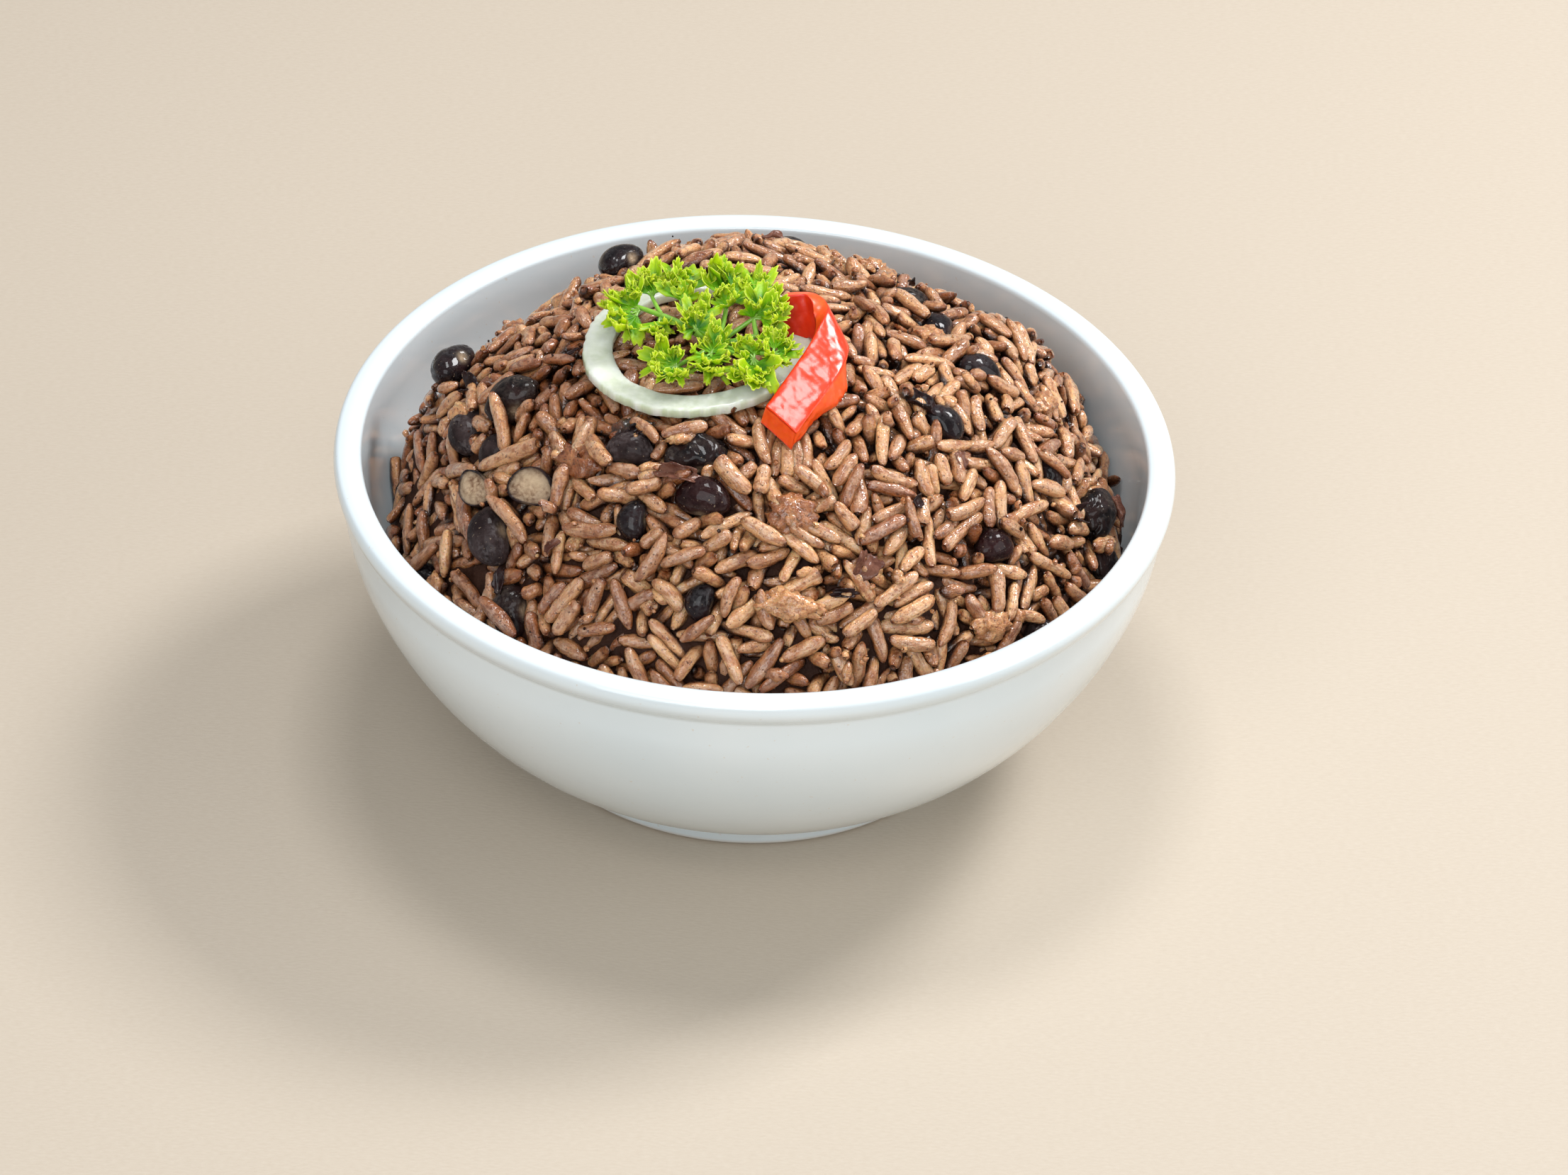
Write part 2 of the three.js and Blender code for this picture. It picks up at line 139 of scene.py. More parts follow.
table_finish, table_shader = new_finish("table_finish", 0.62)
weave = mottle(table_finish, 1.4, 2.0, (1.0, 3.0, 1.0))
use(table_finish, tint(table_finish, weave, (0.47, 0.395, 0.31), (0.53, 0.46, 0.375)),
    table_shader, "Base Color")
relief(table_finish, table_shader, weave, 0.05)
table_corners = [
    (x * TABLE_HALF / MM, y * TABLE_HALF / MM, -TABLE_DROP) for x, y in ((-1, -1), (1, -1), (1, 1), (-1, 1))
]
table = mesh_piece("table_top", table_corners, [[(0, 1, 2, 3)]], table_finish)

world = bpy.data.worlds.new("pale_room")
world.use_nodes = True
world.node_tree.nodes["Background"].inputs["Color"].default_value = ROOM_COLOUR
world.node_tree.nodes["Background"].inputs["Strength"].default_value = ROOM_STRENGTH
bpy.context.scene.world = world
bpy.context.scene.view_settings.view_transform = "Standard"


def soft_light(name, place, size, watts, colour):
    """A square lamp that faces the middle of the bowl."""
    lamp = bpy.data.lights.new(name, "AREA")
    lamp.size = size
    lamp.energy = watts
    lamp.color = colour
    holder = bpy.data.objects.new(name, lamp)
    holder.location = place
    aim = Vector((0.0, 0.0, 0.05)) - Vector(place)
    holder.rotation_euler = aim.to_track_quat("-Z", "Y").to_euler()
    bpy.context.scene.collection.objects.link(holder)


soft_light("window_right", (0.60, 0.42, 0.84), 0.30, 9.8, DAYLIGHT)
soft_light("window_above", (-0.03, 0.20, 1.05), 0.27, 3.8, DAYLIGHT)
soft_light("fill_front", (-0.20, -0.80, 0.70), 0.8, 6.8, PALE_SKY)
soft_light("fill_right", (0.95, -0.30, 0.42), 0.7, 3.4, PALE_SKY)

toward_camera = Vector((0.0, -math.cos(CAMERA_ELEVATION), math.sin(CAMERA_ELEVATION)))
level_right = Vector((1.0, 0.0, 0.0))
level_up = toward_camera.cross(level_right)
camera_right = level_right * math.cos(CAMERA_LEAN) + level_up * math.sin(CAMERA_LEAN)
camera_up = level_up * math.cos(CAMERA_LEAN) - level_right * math.sin(CAMERA_LEAN)
lens = bpy.data.cameras.new("camera")
lens.lens = CAMERA_LENS
lens.clip_end = 10.0
camera = bpy.data.objects.new("camera", lens)
turned = Matrix((camera_right, camera_up, toward_camera)).transposed().to_4x4()
camera.matrix_world = (
    Matrix.Translation(CAMERA_TARGET + toward_camera * CAMERA_DISTANCE) @ turned
)
bpy.context.scene.collection.objects.link(camera)
bpy.context.scene.camera = camera

# ---- Bowl ----
# A slip-cast bowl of white stoneware on a turned foot, with a collar under its rim. It is
# glazed all over but for the underside of the foot ring, which is wiped bare for the kiln.

MOUTH_RADIUS = 71.6
LIP_HEIGHT = 57.8
FLOOR_HEIGHT = 10.5
INSIDE_ROUNDNESS = 2.6
OUTSIDE_ROUNDNESS = 1.51
SHOULDER = (75.5, 49.2)
FOOT_TOP = (44.3, 6.3)
# Points of the section, as radius and height: across under the foot, then up over the rim.
FOOT = ((0.4, 3.0), (36.6, 3.0), (38.0, 0.0), (43.2, 0.0), (43.6, 3.0))
RIM = ((75.9, 54.4), (76.8, 55.5), (77.4, 57.2), (76.9, 58.9), (75.4, 59.3), (73.4, 59.2), (72.2, 58.7))
BOWL_TURN_STEPS = 192


def between(material, value, low, high, start=0.0, end=1.0):
    """Maps a value from low..high to start..end, and clamps it."""
    spread = add_node(
        material, "MapRange",
        {"Value": value, "From Min": low, "From Max": high, "To Min": start, "To Max": end},
    )
    return spread.outputs["Result"]


def patched(material, colour, other, size, detail, low, high, strength=1.0, stretch=(1.0, 1.0, 1.0)):
    """The colour with patches of another one, of the given size in millimetres."""
    patches = between(material, mottle(material, size, detail, stretch), low, high, 0.0, strength)
    return tint(material, patches, colour, other)


def dress(piece, slot, *nodes):
    """The piece goes with the part's one body and stands for these nodes of the CAD."""
    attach(piece, "root")
    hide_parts(*nodes)


def all_round(steps):
    """Even angles once round, without the last that meets the first."""
    return np.linspace(0.0, 2 * math.pi, steps, endpoint=False)


def quarter(steps, roundness):
    """Shares out and down along one quarter of a rounded square."""
    angle = np.linspace(0.0, math.pi / 2, steps + 1)
    out = np.clip(np.cos(angle), 0.0, None) ** (2.0 / roundness)
    return out, np.sin(angle) ** (2.0 / roundness)


def softened(points, reach, cuts=5):
    """A polyline with each corner rounded over the given reach."""
    points = np.asarray(points, float)
    rounded = [points[0]]
    for before, here, after in zip(points[:-2], points[1:-1], points[2:]):
        back, ahead = before - here, after - here
        back_length, ahead_length = np.linalg.norm(back), np.linalg.norm(ahead)
        start = here + back * min(reach / back_length, 0.45)
        end = here + ahead * min(reach / ahead_length, 0.45)
        for share in np.linspace(0.0, 1.0, cuts):
            rounded.append(
                (1 - share) ** 2 * start + 2 * share * (1 - share) * here + share ** 2 * end
            )
    rounded.append(points[-1])
    return np.array(rounded)


def turned_faces(rows, steps):
    """Quads between rows of equally many points that run all the way round."""
    row, step = np.meshgrid(np.arange(rows - 1), np.arange(steps), indexing="ij")
    following = (step + 1) % steps
    here, above = row * steps, (row + 1) * steps
    quads = np.stack([here + step, here + following, above + following, above + step], -1)
    return quads.reshape(-1, 4)


out, down = quarter(34, OUTSIDE_ROUNDNESS)
outside = np.stack([
    FOOT_TOP[0] + (SHOULDER[0] - FOOT_TOP[0]) * out,
    SHOULDER[1] - (SHOULDER[1] - FOOT_TOP[1]) * down,
], -1)[::-1]
out, down = quarter(44, INSIDE_ROUNDNESS)
inside = np.stack([MOUTH_RADIUS * out, LIP_HEIGHT - (LIP_HEIGHT - FLOOR_HEIGHT) * down], -1)
profile = np.concatenate([
    softened([*FOOT, outside[0], outside[1]], 0.8), outside[2:-1],
    softened([outside[-1], *RIM, inside[1]], 0.7), inside[2:-1],
    [(FOOT[0][0], FLOOR_HEIGHT)],
])
angles = all_round(BOWL_TURN_STEPS)
bowl_points = np.stack([
    profile[:, None, 0] * np.cos(angles),
    profile[:, None, 0] * np.sin(angles),
    np.repeat(profile[:, 1, None], BOWL_TURN_STEPS, 1),
], -1).reshape(-1, 3)
last_row = (len(profile) - 1) * BOWL_TURN_STEPS
caps = [
    np.arange(BOWL_TURN_STEPS)[None, ::-1],
    (np.arange(BOWL_TURN_STEPS) + last_row)[None, :],
]

glaze, glaze_shader = new_finish("white_glaze", 0.16, IOR=1.5, Coat_Weight=0.35, Coat_Roughness=0.05)
glaze_colour = patched(glaze, (0.66, 0.735, 0.77), (0.71, 0.77, 0.795), 38.0, 2.0, 0.35, 0.65)
height = add_node(
    glaze, "SeparateXYZ", {"Vector": add_node(glaze, "TexCoord").outputs["Object"]}
).outputs["Z"]
bare = between(glaze, height, 0.0012, 0.0003)
glaze_colour = tint(glaze, bare, glaze_colour, (0.62, 0.58, 0.52))
glaze_colour = patched(glaze, glaze_colour, (0.66, 0.66, 0.63), 0.9, 1.0, 0.74, 0.80)
use(glaze, glaze_colour, glaze_shader, "Base Color")
use(glaze, between(glaze, mottle(glaze, 9.0, 4.0), 0.3, 0.7, 0.12, 0.21), glaze_shader, "Roughness")
relief(glaze, glaze_shader, mottle(glaze, 7.0, 3.0), 0.05)
bowl = mesh_piece(
    "footed_bowl", bowl_points, [turned_faces(len(profile), BOWL_TURN_STEPS), *caps], glaze
)
dress(bowl, "glaze", "bowl")

# ---- Heap of rice: its core ----
# Long rice boiled with black beans, heaped in the bowl. Under the loose grains lies a dense
# wet mass of rice and bean sauce, which closes the gaps between them. It is coloured near
# black, as dark sauce and as painted shade in the gaps.

PEAK = np.array([-3.0, -3.0])
PEAK_HEIGHT = 85.4
EDGE_HEIGHT = 40.0
EDGE_RISE = np.array([2.4, 2.0])
# Each bulge of the heap: place in plan, how wide it spreads and how far it rises.
BULGES = ((52, 26, 13, 7.5), (-5, 50, 16, 3.5), (-60, 12, 12, 8.7))
CORE_DEPTH = 4.6
GRAIN_TOPS = 1.2


def wall_radius(z):
    """The bowl's inside radius at a height."""
    down = np.clip((LIP_HEIGHT - z) / (LIP_HEIGHT - FLOOR_HEIGHT), 0.0, 1.0)
    return MOUTH_RADIUS * (1.0 - down ** INSIDE_ROUNDNESS) ** (1.0 / INSIDE_ROUNDNESS)


def heap_point(share, angle):
    """A point at the tops of the grains, a share of the way from the peak to the wall."""
    along = np.stack([np.cos(angle), np.sin(angle)], -1)
    edge = EDGE_HEIGHT + along @ EDGE_RISE
    radius = wall_radius(edge - GRAIN_TOPS) - 0.4
    lean = along @ PEAK
    reach = np.sqrt(lean ** 2 + radius ** 2 - PEAK @ PEAK) - lean
    plan = PEAK + along * (reach * share)[..., None]
    z = edge + (PEAK_HEIGHT - edge) * (1.0 - share ** 3)
    for x, y, spread, rise in BULGES:
        far = ((plan[..., 0] - x) ** 2 + (plan[..., 1] - y) ** 2) / spread ** 2
        z = z + rise * np.exp(-far)
    return np.concatenate([plan, z[..., None]], -1)


def heap_height(x, y):
    """The height of the tops of the grains over a place in plan."""
    away = np.stack([x - PEAK[0], y - PEAK[1]], -1)
    angle = np.arctan2(away[..., 1], away[..., 0])
    edge_points = heap_point(np.ones_like(angle), angle)
    reach = np.hypot(edge_points[..., 0] - PEAK[0], edge_points[..., 1] - PEAK[1])
    share = np.minimum(np.hypot(away[..., 0], away[..., 1]) / reach, 1.0)
    return heap_point(share, angle)[..., 2]


def wavy(x, y, z, size, seed, waves=7):
    """Smooth chance variation from about -1 to 1 with the given spacing in millimetres."""
    chance = np.random.default_rng(seed)
    total = 0.0
    for _ in range(waves):
        direction = chance.normal(size=3)
        direction /= np.linalg.norm(direction)
        pitch = 2 * math.pi / (size * chance.uniform(0.7, 1.6))
        phase = chance.uniform(0.0, 2 * math.pi)
        total = total + np.sin(
            pitch * (x * direction[0] + y * direction[1] + z * direction[2]) + phase
        )
    return total / math.sqrt(waves)


CORE_RINGS, CORE_STEPS = 90, 240
core_share, core_angle = np.meshgrid(
    np.linspace(1.0, 0.004, CORE_RINGS), all_round(CORE_STEPS), indexing="ij")
core_top = heap_point(core_share, core_angle)
lumpy = wavy(*core_top.reshape(-1, 3).T, 5.0, 3) + 0.5 * wavy(*core_top.reshape(-1, 3).T, 2.2, 4)
core_top[..., 2] -= CORE_DEPTH - 0.8 * np.clip(lumpy.reshape(core_share.shape), -1.6, 1.6)
core_top[..., :2] *= 0.996
core_under = []
for radius_share in (0.30, 0.55, 0.75, 0.88):
    radius = MOUTH_RADIUS * radius_share
    drop = (1.0 - radius_share ** INSIDE_ROUNDNESS) ** (1.0 / INSIDE_ROUNDNESS)
    core_under.append(np.stack([
        (radius - 0.5) * np.cos(core_angle[0]), (radius - 0.5) * np.sin(core_angle[0]),
        np.full(CORE_STEPS, LIP_HEIGHT - (LIP_HEIGHT - FLOOR_HEIGHT) * drop + 0.5),
    ], -1))
core_points = np.concatenate([np.array(core_under), core_top]).reshape(-1, 3)
core_rows = len(core_under) + CORE_RINGS

# Near black: dark bean sauce, and painted shade for the gaps between the grains.
sauce_and_gap_shade, sauce_and_gap_shade_shader = new_finish("rice_mass_and_gap_shade", 0.7, Specular_IOR_Level=0.2)
use(sauce_and_gap_shade, tint(sauce_and_gap_shade, mottle(sauce_and_gap_shade, 3.0), (0.012, 0.004, 0.002), (0.055, 0.018, 0.008)),
    sauce_and_gap_shade_shader, "Base Color")
relief(sauce_and_gap_shade, sauce_and_gap_shade_shader, mottle(sauce_and_gap_shade, 1.6, 4.0), 1.0)
rice_core = mesh_piece(
    "rice_core", core_points,
    [turned_faces(core_rows, CORE_STEPS), np.arange(CORE_STEPS)[None, ::-1],
     (np.arange(CORE_STEPS) + (core_rows - 1) * CORE_STEPS)[None, :]],
    sauce_and_gap_shade,
)
dress(rice_core, "rice", "rice")

# ---- Black beans: where they lie ----
# Whole, wrinkled and split beans sit among the grains, half sunk. Each has its place in plan,
# its length, the angle it lies at, how far it sits up, and its kind.

BEANS = [
    (-26, 34.5, 10, 60, 2.6, "whole"),
    (-56, 14.5, 10.6, 70, 1.8, "whole"),
    (-43.5, -7.2, 12, 10, 1.8, "wrinkled"),
    (-52.9, -4.2, 10.5, 80, 0, "dusty"),
    (-47.3, -14.4, 8, 20, 0, "dusty"),
    (-48.6, -21.2, 8, 115, 2.3, "split"),
    (-39.1, -27.8, 9.6, -20, 1, "split"),
    (-46.6, -30, 11.2, 70, 1.1, "dusty"),
    (-59.9, -21.7, 7.4, 112, 0, "whole"),
    (-42.8, -41.8, 9.8, 60, 0, "wrinkled"),
    (-22.4, -28, 9, -15, 0, "dusty"),
    (-10.6, -31.3, 10.8, 12, 0.4, "crushed"),
    (-8.5, -38.6, 10, -12, 0.2, "plum"),
    (-21.2, -39.8, 7.4, 75, 0, "whole"),
    (-8.5, -52.1, 7, 75, 0, "whole"),
    (27, 23.5, 8, 20, 0, "wrinkled"),
    (32.8, 14.5, 8, 75, 0, "whole"),
    (40.6, 5.8, 8.8, 10, 0, "whole"),
    (34.2, -14.6, 8.8, -25, 0, "whole"),
    (54.5, -8, 7.4, 95, 0, "wrinkled"),
    (44.2, -31.5, 8.2, 20, 0, "plum"),
    (62.4, -6.7, 11.6, 75, 1.2, "wrinkled"),
    (65.2, -12.8, 8.4, 60, 0, "wrinkled"),
    (53, -37, 6.6, 50, 0, "wrinkled"),
    (41.5, 37.2, 8.1, 153.5, 0, "whole"),
    (4.9, 49.5, 8.8, 39.7, 0, "whole"),
    (-4.0, 57.8, 7.7, 29.1, 0, "whole"),
    (-38.8, 38.0, 7.9, 152.1, 0, "whole"),
]
# A bean's width, thickness and bend as shares of its length, and how deep all of them sink.
BEAN_WIDTH, BEAN_THICKNESS, BEAN_BEND, BEAN_SINK = 0.74, 0.66, 0.12, 0.7


def lie_on_heap(x, y, turn, lift):
    """Where a thing lies on the core of the heap: its middle, then along, side and up."""
    step = 2.0
    rise_x = (heap_height(x + step, y) - heap_height(x - step, y)) / (2 * step)
    rise_y = (heap_height(x, y + step) - heap_height(x, y - step)) / (2 * step)
    up = np.array([-float(rise_x), -float(rise_y), 1.0])
    up /= np.linalg.norm(up)
    along = np.array([math.cos(turn), math.sin(turn), 0.0])
    along -= up * (along @ up)
    along /= np.linalg.norm(along)
    middle = np.array([x, y, float(heap_height(x, y)) - GRAIN_TOPS]) + up * lift
    return middle, along, np.cross(up, along), up


bean_places = [
    lie_on_heap(np.float64(x), np.float64(y), math.radians(turn), lift - BEAN_SINK)
    for x, y, _, turn, lift, _ in BEANS
]

# ---- Rice grains: how they lie ----
# The loose grains start at chance in a shell under the surface of the heap. Then they push one
# another apart until they are packed, below the garnish, inside the bowl and off the beans.

SHELL_DEPTH = 6.4
SHELL_FILL = 0.70
GRAIN_VOLUME = 50.0
FIRST_ROUNDS, SECOND_ROUNDS = 300, 120
HOLLOW_DEPTH, HOLLOW_SPACING = 2.6, 4.2
RING_CENTRE, RING_RADIUS, RING_WIDTH, RING_THICK, RING_LIFT = (-10.8, -4.9), 18.0, 5.2, 2.0, 0.45
PLAN_CELL = 0.5
PLAN_HALF = 78.0


def unit(vectors):
    """The same directions, each of length 1."""
    return vectors / np.linalg.norm(vectors, axis=-1, keepdims=True)


dice = np.random.default_rng(41)
plan_steps = np.arange(-PLAN_HALF, PLAN_HALF + PLAN_CELL, PLAN_CELL)
plan_x, plan_y = np.meshgrid(plan_steps, plan_steps, indexing="ij")
plan_top = heap_height(plan_x, plan_y)
plan_rise = np.stack(np.gradient(plan_top, PLAN_CELL), -1)
plan_up = unit(np.concatenate([-plan_rise, np.ones_like(plan_rise[..., :1])], -1))
ceiling = 0.2 + 0.95 * wavy(plan_x, plan_y, 0.0, 10.0, 8) + 0.45 * wavy(plan_x, plan_y, 0.0, 4.5, 9)
from_ring = np.hypot(plan_x - RING_CENTRE[0], plan_y - RING_CENTRE[1])
in_ring = np.abs(from_ring - RING_RADIUS) < RING_WIDTH / 2 + 0.6
for (x, y, _), length in ((place[0], bean[2]) for place, bean in zip(bean_places, BEANS)):
    ceiling += 1.1 * np.exp(-((plan_x - x) ** 2 + (plan_y - y) ** 2) / (0.75 * length) ** 2)
ceiling[from_ring < RING_RADIUS] -= 0.4
ceiling[in_ring] = RING_LIFT - GRAIN_TOPS - 0.25

# Grains that lie on top at places of their own: both ends and the width of each.
HAND_LAID = np.array([
    (-47.4, -26.5, 63.5, -39.6, -36.4, 62, 2.9), (-45.9, -7.1, 72.7, -44, -18, 69.9, 3),
    (-49, -15.8, 64.6, -38.7, -22.1, 72.2, 3.3), (-54.8, -11, 58.1, -49, -16.1, 64.3, 3.1),
    (-34.1, -33.6, 67.1, -32.2, -27.9, 73.4, 3), (-46.1, -39, 51.5, -39.3, -46.4, 48.7, 2.9),
    (-47.7, -32.2, 52.9, -39.6, -39.6, 56.3, 3), (-32.7, -35.4, 67, -23.1, -40, 68.8, 3),
    (-29.8, -39.5, 65, -21, -42.7, 67.3, 2.6), (-30.2, -41.9, 62.5, -23.9, -42.8, 65.9, 2.9),
    (-19.9, -48.1, 63.1, -14, -43.7, 70.5, 3), (-29.6, -24.6, 76.2, -22.1, -28.9, 77.7, 3.1),
    (-36.3, -19.1, 74, -33.3, -26.3, 72.3, 3), (-25.7, -30.7, 74.6, -19.2, -31.8, 76.5, 2.9),
    (-21.9, -36.1, 73.3, -15.7, -35.7, 75.9, 2.6), (-19.5, -34.8, 75.6, -14.8, -33, 78.1, 2.6),
    (-22.2, -37.7, 71.3, -14.6, -39, 73.3, 2.6), (-12.7, -43.5, 70.4, -8.9, -40.7, 73.7, 2.6),
    (-52.9, -27.7, 49, -47.2, -36.3, 48.8, 2.8), (-45.7, -33, 54.9, -41.2, -33.3, 60, 2.9),
    (-37.9, -43.2, 53.6, -32.2, -43.8, 58.6, 2.9), (-29, -48.2, 55.8, -26.1, -45, 62.2, 2.8),
    (-32.7, -49, 51.4, -29.5, -46.4, 58.1, 3.1), (-29.7, -49.2, 53, -23, -51.2, 55.5, 2.6),
    (-23.3, -46.3, 63, -20.4, -52.3, 56, 2.8), (-65.2, 21.8, 41, -64.9, 31, 39.2, 2.8),
    (-16.2, -47.8, 64.6, -11.3, -52, 60.7, 3), (-59.1, -15.8, 46.1, -52.3, -23.7, 53, 2.9),
    (-7.9, -34.3, 79.7, -1.5, -39, 76.2, 3.3), (0.7, -38, 76.4, 3.2, -33.4, 78.9, 2.9),
    (7.4, -33, 79.3, 13.9, -36.8, 75.7, 2.9), (-1.8, -41.7, 73.8, 6.3, -44.7, 70.5, 3),
    (4.8, -34.7, 77.8, 10.7, -36.5, 76.1, 2.7), (20, -30.1, 77.6, 29.2, -29.4, 74.2, 3),
    (20.3, -33.8, 75.4, 29.2, -31.3, 73, 2.4), (8.4, -41.8, 73.2, 16.1, -42.8, 70.3, 2.9),
    (18.8, -42.3, 70.4, 27.3, -36.3, 71.3, 2.9), (13.6, -39.1, 74, 18.5, -41.2, 70.9, 2.7),
    (26.1, -34.5, 74.4, 28.7, -39.4, 69, 2.2), (24, -42.9, 67.2, 27.3, -36.4, 70.3, 2.9),
    (26.4, -44.1, 64.8, 30.9, -38.9, 66.7, 2.9), (5, -51.2, 64.1, 13, -48.1, 66.1, 2.7),
    (9.7, -52.4, 61.6, 18.4, -49.1, 63.2, 2.6), (12.1, -52.9, 59.8, 18.4, -49.9, 61.5, 2.6),
    (17, -54.2, 57.8, 22.5, -50, 60.7, 2.6), (22.6, -50, 61, 29.8, -43.3, 64.2, 2.6),
    (25.4, -47.9, 60.6, 32.4, -42.4, 62, 2.6), (25.1, -50.2, 58.4, 32.9, -44.5, 59.9, 3.1),
    (34, -32.6, 69.8, 41.7, -26, 67.9, 2.8), (29.2, -25.1, 76.3, 32.6, -29.9, 72.1, 2.9),
    (31.8, -23.4, 75.7, 35.6, -26.6, 71.9, 2.9), (-4.9, -55.5, 57.7, -0.3, -60, 50.6, 2.8),
    (0.7, -60.4, 49.9, 7, -55.5, 57.5, 3), (14.8, -55.2, 56.2, 18.4, -58.1, 49.9, 2.9),
    (25.2, -51.7, 56.1, 33.3, -49.6, 53, 2.8), (15.3, -35.3, 76.2, 18, -28.3, 79, 2.9),
]).reshape(-1, 7)
hand_from, hand_to, hand_width = HAND_LAID[:, :3], HAND_LAID[:, 3:6], HAND_LAID[:, 6]
for start, reach, width in zip(hand_from, hand_to - hand_from, hand_width):
    share = ((plan_x - start[0]) * reach[0] + (plan_y - start[1]) * reach[1]) / (reach[:2] @ reach[:2])
    share = np.clip(share, 0.0, 1.0)
    off = np.hypot(plan_x - start[0] - share * reach[0], plan_y - start[1] - share * reach[1])
    over = (start[2] + share * reach[2] - plan_top) * plan_up[..., 2]
    ceiling = np.where(off < width / 2, np.minimum(ceiling, over - 0.1 * width), ceiling)


def over_heap(points):
    """For each point: its height over the heap's surface, the ceiling and upward direction."""
    cell = np.clip(np.rint((points[..., :2] + PLAN_HALF) / PLAN_CELL).astype(int), 0, len(plan_steps) - 1)
    cell = cell[..., 0], cell[..., 1]
    off = points[..., :2] - np.stack([plan_steps[cell[0]], plan_steps[cell[1]]], -1)
    top = plan_top[cell] + (off * plan_rise[cell]).sum(-1)
    up = plan_up[cell]
    return (points[..., 2] - top) * up[..., 2], ceiling[cell], up


def column(value):
    """One number for each point, set upright so that it multiplies the point's vector."""
    return value[..., None]


def nearest_on_lines(centre, along, half, one, two):
    """Where pairs of grains come closest: the distances along each from its middle."""
    apart = centre[one] - centre[two]
    cosine = (along[one] * along[two]).sum(-1)
    first, second = (along[one] * apart).sum(-1), (along[two] * apart).sum(-1)
    square = np.maximum(1.0 - cosine ** 2, 1e-6)
    on_one = np.clip((cosine * second - first) / square, -half[one], half[one])
    on_two = np.clip(cosine * on_one + second, -half[two], half[two])
    on_one = np.clip(cosine * on_two - first, -half[one], half[one])
    return on_one, on_two


def pack_grains(centre, along, half, radius, free, proud, rounds):
    """Moves and turns the free grains until they hardly overlap. Beans stay where they are."""
    inertia = (2 * (half + radius)) ** 2 / 12.0
    count = len(centre)

    def push(moved, turned, touched, who, where, direction, amount):
        sideways = direction - along[who] * column((direction * along[who]).sum(-1))
        for axis in range(3):
            moved[:, axis] += np.bincount(who, direction[:, axis] * amount, count)
            turned[:, axis] += np.bincount(
                who, sideways[:, axis] * amount * where / inertia[who], count)
        touched += np.bincount(who, minlength=count)

    def ease(who, where, direction):
        across = 1.0 - (direction * along[who]).sum(-1) ** 2
        return free[who] * (1.0 + where ** 2 * across / inertia[who])

    for round_number in range(rounds):
        if round_number % 8 == 0:
            reach = half + radius
            near = ((centre[:, None] - centre[None]) ** 2).sum(-1)
            one, two = np.nonzero(np.triu(near < (reach[:, None] + reach[None] + 0.6) ** 2, 1))
            moving = (free[one] + free[two]) > 0
            one, two = one[moving], two[moving]
        moved, turned, touched = np.zeros((count, 3)), np.zeros((count, 3)), np.zeros(count)
        on_one, on_two = nearest_on_lines(centre, along, half, one, two)
        gap = centre[one] + along[one] * column(on_one) - centre[two] - along[two] * column(on_two)
        distance = np.linalg.norm(gap, axis=-1) + 1e-9
        inside = radius[one] + radius[two] - distance
        hit = inside > 0
        direction = gap[hit] / column(distance[hit])
        a, b, on_a, on_b = one[hit], two[hit], on_one[hit], on_two[hit]
        amount = inside[hit] / (ease(a, on_a, direction) + ease(b, on_b, direction))
        push(moved, turned, touched, a, on_a, direction, amount)
        push(moved, turned, touched, b, on_b, -direction, amount)
        for share in (-1.0, 0.0, 1.0):
            where = share * half
            spot = centre + along * column(where)
            over, limit, up = over_heap(spot)
            wall = np.hypot(spot[:, 0], spot[:, 1])
            inward = np.stack([-spot[:, 0] / wall, -spot[:, 1] / wall, 0 * wall], -1)
            room = wall_radius(np.minimum(spot[:, 2], LIP_HEIGHT)) - 0.15
            for direction, amount in (
                (up, radius - SHELL_DEPTH - over),
                (-up, 0.6 * (over + radius - limit - proud)),
                (inward, wall + radius - room),
            ):
                hit = np.nonzero(amount > 0)[0]
                push(moved, turned, touched, hit, where[hit], direction[hit],
                     amount[hit] / np.maximum(ease(hit, where[hit], direction[hit]), 1e-6))
        settle = 0.05 * (1.0 - round_number / rounds)
        moved = moved * column(1.5 / np.maximum(touched, 1.0)) - over_heap(centre)[2] * settle
        centre = centre + moved * column(free)
        along = along + turned * column(1.5 * free / np.maximum(touched, 1.0))
        along = unit(along)
    return centre, along


def grain_sizes(count):
    """Length, width, thickness, bend and bluntness: some grains are broken, most are whole."""
    length = np.where(
        dice.random(count) < 0.22, dice.uniform(4.2, 7.6, count),
        np.clip(dice.normal(9.8, 0.9, count), 7.6, 12.2),
    )
    width = np.clip(dice.normal(2.7, 0.2, count), 2.2, 3.2)
    thick = width * dice.uniform(0.80, 0.97, count)
    return np.stack([
        length, width, thick, dice.normal(0.0, 0.035, count), dice.uniform(1.9, 4.6, count)
    ], -1)


def grain_directions(centre):
    """Grains lie along the heap's surface, some with their neighbours and some at chance."""
    count = len(centre)
    up = over_heap(centre)[2]
    level = unit(np.cross(up, (0.0, 1.0, 0.0)))
    drift = 1.7 * wavy(*centre.T, 22.0, 17, 5) + dice.normal(0, 0.3, count)
    turn = np.where(dice.random(count) < 0.42, drift, dice.uniform(0, math.pi, count))
    tilt = np.where(
        dice.random(count) < 0.22, dice.uniform(-1.4, 1.4, count), dice.normal(0.0, 0.42, count)
    )
    along = level * column(np.cos(turn)) + np.cross(up, level) * column(np.sin(turn))
    return along * column(np.cos(tilt)) + up * column(np.sin(tilt))


